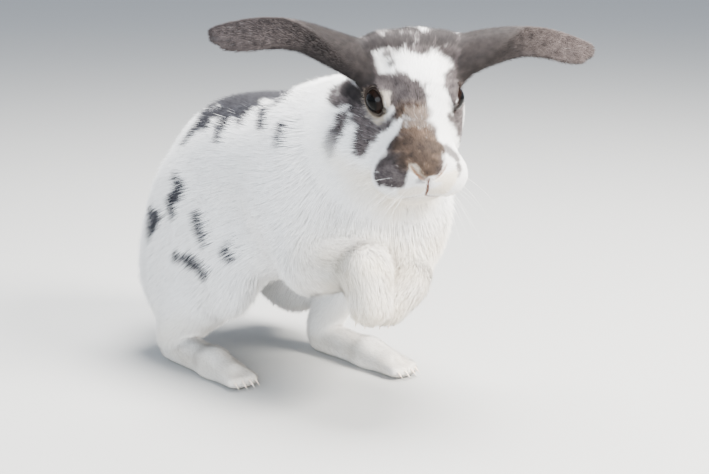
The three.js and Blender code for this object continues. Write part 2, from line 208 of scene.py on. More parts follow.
class Ear:
    """A curved trough about a centreline, in the head's frame; its section is an arc that opens downwards."""

    def __init__(self, side):
        t = np.linspace(0, 1, EAR_STEPS + 1)
        self.line, self.along = smooth_line(EAR_LINE[side], EAR_STEPS)
        across = np.array([0, 0.974, -0.225]) - self.along * (self.along @ [0, 0.974, -0.225])[:, None]
        self.across = across / lengths(across)[:, None]
        self.up = -side * np.cross(self.across, self.along)
        outer = np.minimum(1, t * EAR_WIDENING)
        tip = np.sqrt(np.clip(1 - np.clip((t - EAR_TIP_FROM) / EAR_TIP_PART, 0, None) ** 2, 0, None))
        wide = EAR_RADIUS[0] + (EAR_RADIUS[1] - EAR_RADIUS[0]) * outer
        self.radius = EAR_TIP_RADIUS + (wide - EAR_TIP_RADIUS) * tip
        self.half = np.radians(EAR_OPENING[0] + (EAR_OPENING[1] - EAR_OPENING[0]) * outer)

    def place(self, p):
        """Distance to the middle of the ear's wall, the share of the way to the tip, and the place
        across the section (u across, v up from the arc's centre, radius there), for world points."""
        q = to_local(HEAD, p)
        best = np.full(len(q), 1e9)
        out = np.zeros((len(q), 4))
        for i in range(EAR_STEPS):
            a, b = self.line[i], self.line[i + 1]
            ab = b - a
            r = q - a
            t = np.clip(r @ ab / (ab @ ab), 0, 1)
            r = r - t[:, None] * ab
            u = r @ self.across[i] * (1 - t) + r @ self.across[i + 1] * t
            radius = self.radius[i] * (1 - t) + self.radius[i + 1] * t
            v = r @ self.up[i] * (1 - t) + r @ self.up[i + 1] * t + radius
            w = r @ self.along[i] * (1 - t) + r @ self.along[i + 1] * t
            half = self.half[i] * (1 - t) + self.half[i + 1] * t
            au = np.abs(u)
            past = np.cos(half) * au > np.sin(half) * v
            section = np.where(
                past,
                np.hypot(au - np.sin(half) * radius, v - np.cos(half) * radius),
                np.abs(np.hypot(u, v) - radius),
            )
            d = np.hypot(section, w)
            near = d < best
            best = np.where(near, d, best)
            out[near] = np.column_stack([(i + t) / EAR_STEPS, u, v, radius])[near]
        return best, out

    def field(self, p):
        d = np.full(len(p), FAR)
        low = self.line.min(0) - EAR_MARGIN
        high = self.line.max(0) + EAR_MARGIN
        q = to_local(HEAD, p)
        near = ((q > low) & (q < high)).all(1)
        if near.any():
            d[near] = np.minimum(FAR, self.place(p[near])[0] - EAR_WALL)
        return d


EARS = {side: Ear(side) for side in (LEFT, RIGHT)}

# ---------------------------------------------------------------- the rabbit's forms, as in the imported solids

head_form = in_frame(
    HEAD,
    join(
        ball((0, 14, 8), (32, 36, 33)),
        (limb((0, -4, 5), (0, -46, -8), 29, 20), 18),  # forehead and bridge of the nose
        (both_sides(ball((23, -4, -17), (17, 31, 25))), 14),  # cheeks
        (both_sides(ball((28, 16, -18), (17, 24, 27))), 14),  # cheek ruff
        (ball((0, -48, -14), (27, 19, 22)), 12),  # muzzle
        (both_sides(ball((16, -52, -20), (19, 15.5, 17))), 8),  # whisker pads
        (ball((0, -60, -8), (9, 8, 9)), 8),  # nose
        (ball((0, -46, -34), (15, 16, 12)), 10),  # chin
        (both_sides(ball((25, -8, 20), (7, 16, 7))), 8),  # brows
        (ball((0, 24, 36.5), (27, 16, 12.5)), 10),  # crown
        (both_sides(ball((25, 23, 36), (15, 14, 11))), 10),  # hair in front of the ears
    ),
)

neck_form = join(
    limb((0, -78, 190), (0, -104, 208), 50, 38),
    (limb((8, -92, 166), (4, -110, 184), 50, 38), 20),  # throat
)

trunk_form = join(
    ball((0, 22, 155), (64, 104, 67), -4),  # rib cage and loin
    (both_sides(limb((20, -54, 181), (18, 50, 172), 41, 42)), 24),  # shoulder blades and loin
    (ball((0, 86, 126), (65, 64, 75), -34), 30),  # rump
    (ball((2, -56, 172), (59, 58, 62)), 34),  # shoulders
    (ball((10, -96, 142), (52, 41, 54)), 26),  # chest
    (limb((-44, -52, 150), (-45, -82, 112), 30, 25), 24),  # right upper arm and elbow
    (limb((44, -56, 152), (41, -86, 122), 30, 25), 24),  # left upper arm and elbow
    (both_sides(limb((26, -56, 120), (30, 16, 108), 26, 28)), 26),  # belly
)

tail_form = join(
    limb((0, 136, 102), (0, 156, 106), 20, 19),
    (limb((0, 156, 106), (0, 164, 134), 18, 12), 12),
)

SHANK_LINE = {
    RIGHT: ((-60, 48, 58), (-64, 84, 26), 22, 16),
    LEFT: ((54, -2, 72), (48, 28, 26), 21, 15),
}
FORELEG_LINE = {
    RIGHT: ((-43, -84, 114), (-41, -137, 117), 24, 17.2),
    LEFT: ((38, -90, 124), (4, -129, 98), 24, 16.5),
}


def haunch_form(side):
    return join(
        ball((47 * side, 72, 96), (33, 64, 68), -16),
        (ball((58 * side, 88, 66), (23, 46, 42), -12), 24),  # back of the thigh, over the hock
        (ball((56 * side, 16, 82), (22, 30, 36), 20), 20),  # knee
    )


def hind_foot_form(side):
    toes = [(limb((x * 0.45, -68, 11.5), (x, end, 8.5), 7.4, 5.6), 5) for x, end in HIND_TOES]
    return in_frame(
        HIND[side],
        join(
            limb((0, 0, 14.5), (0, -62, 12.5), 14, 12.5),
            (limb((0, -60, 12.5), (0, -88, 10.5), 12.5, 10.5), 10),
            *toes,
        ),
    )


def forepaw_form(side):
    toes = [(limb((x * 0.8, -18, 0), (x, end, -1), 8, 6.8), 4) for x, end in FORE_TOES]
    return in_frame(FORE[side], join(limb((0, 4, 0), (0, -20, 0), 18.6, 17.2), *toes))


def ramp(x, start, end):
    """0 before start, 1 after end and smooth between them."""
    t = np.clip((x - start) / (end - start), 0, 1)
    return t * t * (3 - 2 * t)


def head_coat_depth(p):
    """Thin over the nose and round the eyes, thick over the crown, the cheeks' ruff and the nape."""
    q = to_local(HEAD, p)
    depth = 1.4 + 2.2 * ramp(q[:, 1], -50, 20) + 2.6 * ramp(q[:, 1], 8, 40)
    return depth + 1.2 * ramp(q[:, 2], 22, 36) * ramp(q[:, 1], 4, 20)


def foot_coat_depth(p):
    """Nothing under the sole, where the fur is pressed flat."""
    return 0.3 + 2.6 * ramp(p[:, 2], 1, 12)


# Every part of the flesh: its form, the fillet that joins it on, and the coat's depth over the skin.
PARTS = {
    "trunk": (trunk_form, 0, 7),
    "neck": (neck_form, 40, 7),
    "head": (head_form, 16, head_coat_depth),
    "foreleg_right": (limb(*FORELEG_LINE[RIGHT]), 18, 4.8),
    "foreleg_left": (limb(*FORELEG_LINE[LEFT]), 18, 4.8),
    "forepaw_right": (forepaw_form(RIGHT), 13, 3.4),
    "forepaw_left": (forepaw_form(LEFT), 13, 3.4),
    "haunch_right": (haunch_form(RIGHT), 28, 7.5),
    "haunch_left": (haunch_form(LEFT), 28, 7.5),
    "hind_shank_right": (limb(*SHANK_LINE[RIGHT]), 12, 4.5),
    "hind_shank_left": (limb(*SHANK_LINE[LEFT]), 12, 4.5),
    "hind_foot_right": (hind_foot_form(RIGHT), 8, foot_coat_depth),
    "hind_foot_left": (hind_foot_form(LEFT), 8, foot_coat_depth),
    "tail": (tail_form, 10, 6.0),
    "ear_right": (EARS[RIGHT].field, 8, 2.1),
    "ear_left": (EARS[LEFT].field, 8, 2.1),
}
PART_NAMES = list(PARTS)


def part_distances(p):
    """The distance of every point to every part, one column for each part in PART_NAMES."""
    return np.column_stack([PARTS[name][0](p) for name in PART_NAMES])


def melted(distances, depths=None):
    """The body's distance from its parts' distances: to the skin where the coat's depths are given,
    and to the outline of the coat without them."""
    d = distances if depths is None else distances + depths
    whole = d[:, 0]
    for column, name in enumerate(PART_NAMES[1:], 1):
        whole = melt(whole, d[:, column], PARTS[name][1])
    return whole


def coat_depths(p):
    """The coat's depth of every part at every point."""
    return np.column_stack(
        [
            depth(p) if callable(depth) else np.full(len(p), float(depth))
            for _, _, depth in (PARTS[name] for name in PART_NAMES)
        ]
    )


def outline(p):
    return melted(part_distances(p))


SKIN_BOTTOM = 0.15


def plain_skin(p):
    """The skin without the face's details, cut flat under the feet."""
    return np.maximum(melted(part_distances(p), coat_depths(p)), SKIN_BOTTOM - p[:, 2])


TETRA = np.array([(1, 1, 1), (1, -1, -1), (-1, 1, -1), (-1, -1, 1)], float)
REACH = 0.25


def field_and_slope(field, p):
    """The field and its gradient at every point, from four samples round it."""
    samples = field((p[:, None] + TETRA * REACH).reshape(-1, 3)).reshape(-1, 4)
    return samples.mean(1), samples @ TETRA / (4 * REACH)


def settle(p, field, rounds=2, limit=1.6):
    """Moves the points onto the field's surface."""
    for _ in range(rounds):
        d, slope = field_and_slope(field, p)
        move = d / np.maximum((slope * slope).sum(1), 0.25)
        p = p - slope * np.clip(move, -limit, limit)[:, None]
    return p


def unit(v):
    return v / np.maximum(lengths(v), 1e-12)[:, None]


# ---------------------------------------------------------------- details of the face in the skin

EYE_OUT = Vector((0.9, -0.42, 0.1)).normalized()
LID_RADIUS, LID_ROLL = 10.5, 1.4
SOCKET_GAP = 0.2


def mirrored(point, side):
    return np.array([point[0] * side, point[1], point[2]], float)


def bead(points, radius, end_radius):
    """A round bead along a row of points, thinning to end_radius at both ends."""
    count = len(points) - 1
    size = [end_radius + (radius - end_radius) * math.sin(math.pi * i / count) for i in range(count + 1)]
    pieces = [limb(points[i], points[i + 1], size[i], size[i + 1]) for i in range(count)]

    def field(p):
        d = pieces[0](p)
        for piece in pieces[1:]:
            d = np.minimum(d, piece(p))
        return d

    return field


def lid_ring(side):
    """The rolled edge of both lids: a ring round the front of the eyeball, a little longer than tall."""
    centre = mirrored(EYE_AT, side)
    out = mirrored(EYE_OUT, side)
    up = np.array([0, 0, 1.0]) - out * out[2]
    up /= np.linalg.norm(up)
    fore = np.cross(up, out)
    fore *= -np.sign(fore[1])

    def field(p):
        q = p - centre
        ahead = q @ out - 3.6
        rise = q @ up
        run = q @ fore
        around = np.hypot(run * 0.955, rise)
        heavier = 0.35 * np.clip(rise / 8, -1, 1)
        return np.hypot(around - LID_RADIUS, ahead) - LID_ROLL - heavier

    return field


# The nose lies a little to one side of the middle, as it does in the middle of a twitch.
NOSE_ASIDE = 0.6
NOSTRIL = [(2.2, -69.4, -5.6), (5.4, -68.4, -4.4), (8.4, -66.6, -2.6), (11.2, -63.8, -0.6), (12.8, -61, 1.6)]
SPLIT = [(-0.9, -69.4, -5.4), (-0.4, -70, -10), (0.5, -69, -17), (1.2, -66.5, -23), (1.6, -64.5, -26.6)]
MOUTH = [(1, -65, -26.4), (6, -65.5, -27.4), (12, -63, -28.4), (17, -58, -30), (21, -50, -31.5)]


def on_skin(points):
    """The points, given in the head's frame, moved onto the skin without its details."""
    settled = settle(to_world(HEAD, np.array(points, float)), plain_skin, rounds=4, limit=4)
    return [tuple(point) for point in to_local(HEAD, settled)]


def aside(points, side):
    return [(NOSE_ASIDE + x * side, y, z) for x, y, z in points]


def about_eye(q, side):
    """How far each point lies from the eye's centre, ahead of it, and to the side of its line of sight."""
    out = mirrored(EYE_OUT, side)
    from_eye = q - mirrored(EYE_AT, side)
    ahead = from_eye @ out
    return lengths(from_eye), ahead, lengths(from_eye - ahead[:, None] * out)


def socket_dish(side):
    """A shallow dish round the eye, which brings the skin down to the lids."""

    def field(p):
        _, ahead, wide = about_eye(p, side)
        return (wide - 9.4 - 1.5 * (ahead - 4.4)) / 1.8

    return field


socket_dishes = {side: socket_dish(side) for side in (LEFT, RIGHT)}
eye_globes = {side: ball(mirrored(EYE_AT, side), (EYE_RADIUS + SOCKET_GAP,) * 3) for side in (LEFT, RIGHT)}
lid_rings = {side: lid_ring(side) for side in (LEFT, RIGHT)}
nostril_beads = [bead(on_skin(aside(NOSTRIL, side)), 1.0, 0.2) for side in (LEFT, RIGHT)]
mouth_beads = [bead(on_skin(aside(MOUTH, side)), 1.7, 0.8) for side in (LEFT, RIGHT)]
lip_split = bead(on_skin(aside(SPLIT, LEFT)), 1.2, 0.5)


def nostrils(p):
    return np.minimum(nostril_beads[0](p), nostril_beads[1](p))


def mouth_line(p):
    return np.minimum(mouth_beads[0](p), mouth_beads[1](p))


def with_face(p, d):
    """Adds the lids, nostrils, split lip and mouth to the skin's distance d."""
    q = to_local(HEAD, p)
    for side in (LEFT, RIGHT):
        d = carve(d, socket_dishes[side](q), 3.5)
        d = melt(d, lid_rings[side](q), 2.4)
        d = carve(d, eye_globes[side](q), 0.5)
    d = carve(d, nostrils(q), 1.6)
    d = carve(d, lip_split(q), 2.2)
    return carve(d, mouth_line(q), 2.0)


def detailed_skin(p):
    return with_face(p, plain_skin(p))


# ---------------------------------------------------------------- meshing a field

SKIN_PITCH = 2.4
SKIN_REGION = (-155, -245, -10), (150, 195, 312)


def grid_points(axes):
    return np.stack(np.meshgrid(*axes, indexing="ij"), -1).reshape(-1, 3)


def finer(values, step, axis):
    """Values on a grid step times finer along one axis."""
    values = np.moveaxis(values, axis, 0)
    t = np.arange((len(values) - 1) * step + 1) / step
    low = np.minimum(t.astype(int), len(values) - 2)
    share = (t - low).reshape((-1,) + (1,) * (values.ndim - 1))
    return np.moveaxis(values[low] * (1 - share) + values[low + 1] * share, 0, axis)


def field_grid(field, low, high, pitch, step=4):
    """The field on a grid: exact near the surface, and only its sign elsewhere."""
    count = np.ceil((high - low) / (pitch * step)).astype(int) * step + 1
    axes = [low[i] + pitch * np.arange(count[i]) for i in range(3)]
    coarse = [axis[::step] for axis in axes]
    values = field(grid_points(coarse)).reshape([len(axis) for axis in coarse])
    for axis in range(3):
        values = finer(values, step, axis)
    near = np.abs(values) < pitch * step
    index = np.argwhere(near)
    values[near] = field(low + index * pitch)
    return values


def surface_net(values, low, pitch):
    """Vertices and quads of the surface where the grid's values change sign."""
    inside = values < 0
    cells = [n - 1 for n in values.shape]
    total = np.zeros(cells + [3])
    count = np.zeros(cells)
    for axis in range(3):
        a = np.moveaxis(values, axis, 0)
        crossed = np.moveaxis(inside, axis, 0)
        crossed = crossed[1:] != crossed[:-1]
        with np.errstate(divide="ignore", invalid="ignore"):
            part = np.where(crossed, a[:-1] / (a[:-1] - a[1:]), 0)
        crossed = np.moveaxis(crossed, 0, axis)
        part = np.moveaxis(part, 0, axis)
        others = [i for i in range(3) if i != axis]
        for da in (0, 1):
            for db in (0, 1):
                cut = [slice(None)] * 3
                cut[others[0]] = slice(da, da + cells[others[0]])
                cut[others[1]] = slice(db, db + cells[others[1]])
                hit = crossed[tuple(cut)]
                total[..., axis] += part[tuple(cut)] * hit
                total[..., others[0]] += da * hit
                total[..., others[1]] += db * hit
                count += hit
    used = count > 0
    number = np.full(cells, -1)
    number[used] = np.arange(used.sum())
    points = low + (np.argwhere(used) + total[used] / count[used][:, None]) * pitch
    quads = []
    for axis in range(3):
        first, second = [(1, 2), (2, 0), (0, 1)][axis]
        low_side = np.moveaxis(inside, axis, 0)[:-1]
        high_side = np.moveaxis(inside, axis, 0)[1:]
        crossed = np.moveaxis(low_side != high_side, 0, axis)
        leaving = np.moveaxis(low_side & ~high_side, 0, axis)
        at = np.argwhere(crossed)
        at = at[(at[:, first] > 0) & (at[:, second] > 0)]
        at = at[(at[:, first] < cells[first]) & (at[:, second] < cells[second])]
        corners = []
        for a, b in ((1, 1), (0, 1), (0, 0), (1, 0)):
            shifted = at.copy()
            shifted[:, first] -= a
            shifted[:, second] -= b
            corners.append(number[tuple(shifted.T)])
        quad = np.stack(corners, 1)
        outward = leaving[tuple(at.T)]
        quad[~outward] = quad[~outward][:, ::-1]
        quads.append(quad)
    return points, np.concatenate(quads)


def spread_evenly(p, links, normals, strength):
    """Slides the vertices along the surface towards the middle of their neighbours."""
    a, b = links.T
    count = np.bincount(links.ravel(), minlength=len(p))
    for _ in range(2):
        total = np.column_stack(
            [
                np.bincount(a, p[b, axis], len(p)) + np.bincount(b, p[a, axis], len(p))
                for axis in range(3)
            ]
        )
        move = total / np.maximum(count, 1)[:, None] - p
        move -= normals * (move * normals).sum(1)[:, None]
        p = p + move * strength
    return p


# ---------------------------------------------------------------- from the rabbit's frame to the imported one

eye_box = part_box("eye_right")
PLACE = (np.array(eye_box[0]) + np.array(eye_box[1])) / 2 - to_world(HEAD, mirrored(EYE_AT, RIGHT)) * MM


def packed(p):
    """Points in mm in the rabbit's own frame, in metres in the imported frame."""
    return p * MM + PLACE


# ---------------------------------------------------------------- the skin


def near_any(p, spots):
    """True for the points within any of the spots, each a centre in the head's frame and a radius."""
    q = to_local(HEAD, p)
    found = np.zeros(len(p), bool)
    for centre, radius in spots:
        found |= lengths(q - centre) < radius
    return found


FACE_SPOTS = [((0, -46, -8), 44), (mirrored(EYE_AT, LEFT), 22), (mirrored(EYE_AT, RIGHT), 22)]
FINE_SPOTS = [
    ((0, -64, -15), 15), ((12, -60, -26), 11), ((-12, -60, -26), 11),
    (mirrored(EYE_AT, LEFT), 14.5), (mirrored(EYE_AT, RIGHT), 14.5),
]


def divided(p, faces, spots):
    """Splits the faces near the spots once, in four."""
    bm = bmesh.new()
    for point in p:
        bm.verts.new(point)
    bm.verts.ensure_lookup_table()
    made = [bm.faces.new([bm.verts[i] for i in face]) for face in faces]
    middle = np.array([face.calc_center_median() for face in made])
    chosen = near_any(middle, spots)
    edges = {edge for face, use in zip(made, chosen) if use for edge in face.edges}
    bmesh.ops.subdivide_edges(bm, edges=list(edges), cuts=1, use_grid_fill=True)
    bm.verts.index_update()
    points = np.array([v.co for v in bm.verts])
    faces = [[v.index for v in face.verts] for face in bm.faces]
    bm.free()
    return points, faces


def links_of(faces):
    """Every edge of the faces once, as a pair of vertices."""
    edges = np.array([(face[i - 1], face[i]) for face in faces for i in range(len(face))])
    return np.unique(np.sort(edges, 1), axis=0)


def skin_shape():
    low, high = np.array(SKIN_REGION, float)
    values = field_grid(plain_skin, low, high, SKIN_PITCH)
    p, quads = surface_net(values, low, SKIN_PITCH)
    faces = quads.tolist()
    links = links_of(faces)
    for _ in range(2):
        normals = unit(field_and_slope(plain_skin, p)[1])
        p = spread_evenly(p, links, normals, strength=0.5)
        p = settle(p, plain_skin, rounds=1)
    for spots, reach in ((FACE_SPOTS, 3.0), (FINE_SPOTS, 2.0)):
        p, faces = divided(p, faces, spots)
        near = near_any(p, [(centre, radius + reach) for centre, radius in spots])
        p[near] = settle(p[near], detailed_skin, rounds=2)
        links = links_of(faces)
        normals = np.zeros_like(p)
        normals[near] = unit(field_and_slope(detailed_skin, p[near])[1])
        moved = spread_evenly(p, links, normals, strength=0.4)
        p[near] = settle(moved[near], detailed_skin, rounds=2)
    return p, faces


# ---------------------------------------------------------------- markings and painted shade
# A grey of 1 is the plain dark coat; up to DARKEST it deepens towards black, both for the coat's darkest
# patches and for painted shade on the ears and behind the eye.
# Chains of (x, y, z, radius): in the head's frame for the head and in the rabbit's frame for the body.

DARKEST = 1.8
EYE_RING = 14.4, 16.0  # the brown ring round the eye ends between these, from the eye's centre


def cloud(p, size, seed):
    """Smooth noise from -1 to 1 that changes over about size mm."""
    q = p / size + 31.7 * seed + 1000
    cell = q.astype(np.int64)
    t = q - cell
    t = t * t * (3 - 2 * t)
    total = np.zeros(len(p))
    for dx in (0, 1):
        for dy in (0, 1):
            for dz in (0, 1):
                h = (cell[:, 0] + dx) * 73856093 ^ (cell[:, 1] + dy) * 19349663 ^ (cell[:, 2] + dz) * 83492791
                h = (h ^ (h >> 13)) * 1274126177 & 0x7FFFFFFF
                weight = np.abs(1 - dx - t[:, 0]) * np.abs(1 - dy - t[:, 1]) * np.abs(1 - dz - t[:, 2])
                total += (h / 0x3FFFFFFF - 1) * weight
    return total


def blot(*chains):
    """The distance to the nearest of several chains of balls."""
    pieces = []
    for chain in chains:
        ends = chain if len(chain) > 1 else chain * 2
        for a, b in zip(ends, ends[1:]):
            b = b if a != b else (b[0] + 0.1,) + b[1:]
            pieces.append(limb(a[:3], b[:3], a[3], b[3]))

    def field(p):
        d = pieces[0](p)
        for piece in pieces[1:]:
            d = np.minimum(d, piece(p))
        return d

    return field


def flipped(chain, shift=(0, 0, 0)):
    """The same chain on the other side, a little moved."""
    return [(-x + shift[0], y + shift[1], z + shift[2], r) for x, y, z, r in chain]


CROWN = [
    [(-40, 25, 43, 4.4), (-34, 22, 45, 5.4), (-26, 19, 47, 5.4), (-22, 16, 47, 3.8)],
    [(-41, 14, 43, 5.4), (-32, 15, 44, 4.9), (-23, 13, 45, 2.8)],
    [(-45, 7, 40, 5.4), (-46, 3, 35, 4.6)],
    [(-35, 32, 41, 2.8), (-24, 25, 48, 2.8)],
    [(-5, 16, 48, 3.3), (2, 15, 47, 4.6), (11, 14, 46, 4.9)],
    [(-5, 10, 45, 2.3), (1, 8, 44, 2.3), (9, 9, 44, 2.8)],
    [(-13, 20, 48, 1.5), (-8, 15, 47, 1.5)],
    [
        (-34, 32, 42, 4.4), (-24, 29, 47, 4.1), (-12, 29, 48, 3.6), (-1, 26, 49, 3.6),
        (12, 25, 49, 3.6), (25, 23, 48, 3.8),
    ],
    [(-13, 23, 49, 2.1), (-2, 21, 49, 2.8), (11, 20, 48, 3.1), (21, 20, 48, 3.1)],
    [(14, 17, 47, 4.9), (21, 15, 47, 4.9), (30, 15, 45, 4.4)],
    [(19, 10, 43, 3.3), (27, 9, 40, 4.6), (31, 4, 35, 4.4), (33, 0, 28, 3.8)],
]
BROW = [
    [
        (-45, 1, 27, 5.9), (-36, -1, 24, 5.6), (-29, -4, 28, 6.2), (-22, -8, 31, 7.4),
        (-15, -14, 32, 7.9), (-7, -19, 32, 7.7),
    ],
    [(-19, -22, 24, 2.8), (-19, -26, 19, 3.1), (-21, -27, 14, 2.6)],
    [(-17, -3, 36, 1.9), (-16, -6, 35, 3.3), (-12, -11, 35, 4.9)],
    [(-4, -17, 34, 4.6), (-2, -21, 31, 4.1)],
    [(-19, -19, 27, 5.9), (-17, -24, 22, 4.9), (-18, -29, 16, 3.6)],
    [(-38, -2, 17, 5.1), (-33, -5, 23, 5.4), (-28, -11, 27, 5.1), (-24, -17, 27, 4.4)],
]
CHEEK = [
    [(-49, 35, -14, 5.1), (-53, 20, -11, 5.1), (-51, 10, -7, 5.1)],
    [(-46, 31, -8, 5.1), (-46, 16, -1, 7.7), (-45, 5, 0, 7.9), (-40, -6, 2, 6.4)],
    [(-39, -1, 10, 4.4), (-39, -5, 5, 4.4), (-38, -12, 2, 4.4)],
    [
        (-42, -10, -2, 5.9), (-37, -17, 0, 5.6), (-31, -24, 2, 4.6), (-25, -28, 7, 3.8),
        (-22, -28, 13, 3.1),
    ],
    [
        (-50, -3, -9, 5.9), (-54, -8, -17, 6.2), (-57, -13, -23, 5.6), (-57, -19, -28, 3.8),
        (-59, -22, -31, 1.8),
    ],
    [(-39, -20, -6, 6.7), (-40, -25, -11, 7.4), (-41, -29, -18, 5.9), (-41, -32, -21, 3.1)],
    [(-34, -27, -3, 5.6), (-31, -26, 1, 4.4)],
]
BRIDGE_MIDDLE = [
    [(-8, -29, 24, 1.3), (-6, -34, 21, 1.3), (-4, -39, 18, 1.3)],
]
BETWEEN = [
    [(-12, -22, 28, 7.7), (-5, -24, 28, 6.9)],
    [(-18, -24, 23, 5.1), (-14, -23, 25, 5.1)],
    [(-16, -39, 11, 5.1), (-7, -43, 15, 7.2), (3, -46, 15, 5.9)],
]
# The coat's dark grey behind the eye, deepened past it to DARKEST by painted shade from the ear above.
BEHIND_EYE_AND_EAR_SHADOW = [
    [(-46, 29, -6, 4.6), (-45, 14, 1, 5.9), (-42, 3, 4, 5.6), (-45, 0, 0, 4.6)],
]
BRIDGE = [
    [(-13, -28, 22, 6.4), (-3, -32, 23, 7.9)],
    [(-15, -33, 16, 4.4), (-16, -36, 12, 3.3)],
    [(-11, -36, 17, 5.6), (-3, -40, 17, 7.7), (4, -42, 16, 5.4)],
]
NOSE = [
    [(-15, -44, 10, 5.6), (-6, -48, 13, 6.7), (3, -50, 14, 5.9)],
    [(-21, -44, 4, 7.9), (-10, -50, 11, 8.5), (-1, -52, 13, 8.2), (5, -54, 12, 6.7)],
    [(-25, -50, -2, 9.2), (-14, -58, 6, 8.2), (-2, -61, 8, 8.7), (3, -62, 7, 6.9)],
    [(-4, -67, 1, 6.2), (4, -66, 3, 5.9)],
]
PAD = [
    [(-31, -51, -8, 7.7), (-26, -59, -6, 8.7), (-21, -63, -5, 6.7)],
    [(-33, -56, -14, 5.6), (-27, -63, -13, 5.9), (-21, -66, -11, 5.4)],
    [(-19, -67, -12, 2.6), (-18, -60, 0, 5.6)],
]
LEFT_FACE = [
    [(16, -52, 7, 4.4), (24, -53, 0, 4.6)],
    [(25, -58, -4, 3.3), (24, -63, -8, 2.6)],
    [(19, -4, 34, 3.3), (21, -11, 30, 4.6), (23, -18, 27, 3.6), (24, -22, 24, 2.3)],
    [(27, -5, 29, 4.4), (27, -14, 27, 3.6)],
    [(34, -23, -2, 1.8), (36, -24, -15, 2.1), (28, -46, -5, 1.8)],
]
FOREHEAD_WHITE = [
    [(-34, 7, 36, 4.1), (-26, 8, 39, 3.8), (-16, 7, 41, 4.1)],
    [(-12, 2, 39, 3.8), (-5, 0, 41, 5.4), (5, -2, 40, 7.2), (18, 2, 36, 6.4)],
    [(3, -10, 38, 6.2), (13, -11, 35, 5.9)],
    [(6, -18, 32, 4.6), (14, -18, 29, 4.9)],
    [(9, -25, 26, 4.9), (15, -25, 23, 4.9)],
    [(13, -33, 18, 4.9), (16, -34, 14, 5.1)],
    [(19, -41, 8, 4.4), (23, -40, 1, 2.8)],
]
WHITE_WEDGES = [
    [(-43, -13, -5, 0.9), (-48, -15, -14, 2.6), (-49, -20, -20, 3.6), (-49, -27, -26, 5.6)],
    [
        (-16, -31, 16, 1.3), (-20, -33, 9, 3.1), (-26, -34, -1, 4.1), (-31, -35, -10, 3.6),
        (-36, -37, -20, 3.6),
    ],
    [(-45, 1, -1, 0.8), (-50, 3, -7, 1.7), (-55, 7, -13, 2.6)],
]
CROWN_WHITE = [
    [(-21, 24, 48, 1.7), (-17, 18, 48, 1.7), (-12, 12, 45, 1.8), (-10, 8, 43, 1.5)],
]
SPOT = [
    [(-21, 8, 40, 3.6), (-20, 5, 37, 3.8)],
]
WARM_NOSE = [
    [(-14, -28, 20, 5.1), (-3, -32, 22, 6.4)],
    [(-19, -45, 6, 5.1), (-10, -50, 11, 9), (-1, -52, 13, 9), (5, -54, 11, 6.4)],
    [(-16, -58, 4, 5.6), (-11, -59, 7, 8.5), (-2, -62, 7, 9.7)],
    [(-2, -68, 1, 6.4)],
    [(-14, -36, 15, 5.1), (-3, -40, 17, 7.7)],
]
RING = [
    [(-26, -16, 26, 2.6), (-24, -21, 25, 3.3), (-25, -25, 19, 2.3)],
    [(-38, -2, 13, 0.9), (-38, -5, 7, 1), (-37, -13, 3, 1)],
    [(-34, -18, 4, 1.2), (-30, -23, 5, 1.4), (-27, -23, 9, 1.9)],
]
TAN = [
    [(-14, -59, 4, 2.6), (-11, -63, 2, 3.8), (-8, -67, 0, 3.3), (-4, -69, -2, 2.1)],
]
LIPS = [
    [(-16, -68, -20, 4.4), (-7, -69, -18, 5.4), (-3, -70, -15, 2.8)],
    [(6, -69, -19, 4.9), (13, -69, -18, 5.6), (18, -67, -11, 5.1)],
    [(7, -69, -6, 2.6), (13, -67, -6, 3.8), (21, -63, -7, 3.6)],
]

head_marks = [
    # how strongly they are coloured, the width of their edge, and where they are
    (1.35, 1.5, blot(*CROWN)),
    (1.35, 1.5, blot(*BROW)),
    # the patch behind the eye: dark coat deepened by painted shade from the ear
    (DARKEST, 4.0, blot(*BEHIND_EYE_AND_EAR_SHADOW)),
    (1.25, 4.0, blot(*BETWEEN)),
    (1.0, 1.8, blot(*CHEEK)),
    (0.95, 3.0, blot(*BRIDGE)),
    (1.6, 4.5, blot(*NOSE)),
    (1.22, 2.6, blot(*PAD)),
    (0.9, 1.5, blot(*LEFT_FACE)),
    (1.0, 2.2, blot(*(flipped(chain, (-1, 2, 0)) for chain in CHEEK + BROW[:1] + BROW[-1:]))),
    (1.0, 2.2, blot([(0, 40, 34, 12), (0, 52, 16, 9)])),
]
head_whites = [
    (1.4, blot(*FOREHEAD_WHITE)),
    (1.2, blot(*WHITE_WEDGES)),
    (1.2, blot(*CROWN_WHITE)),
]
forehead_spot = blot(*SPOT)
bridge_middle = blot(*BRIDGE_MIDDLE)
nose_warmth = blot(*WARM_NOSE)
nostril_tan = blot(*TAN)
pale_lips = blot(*LIPS)

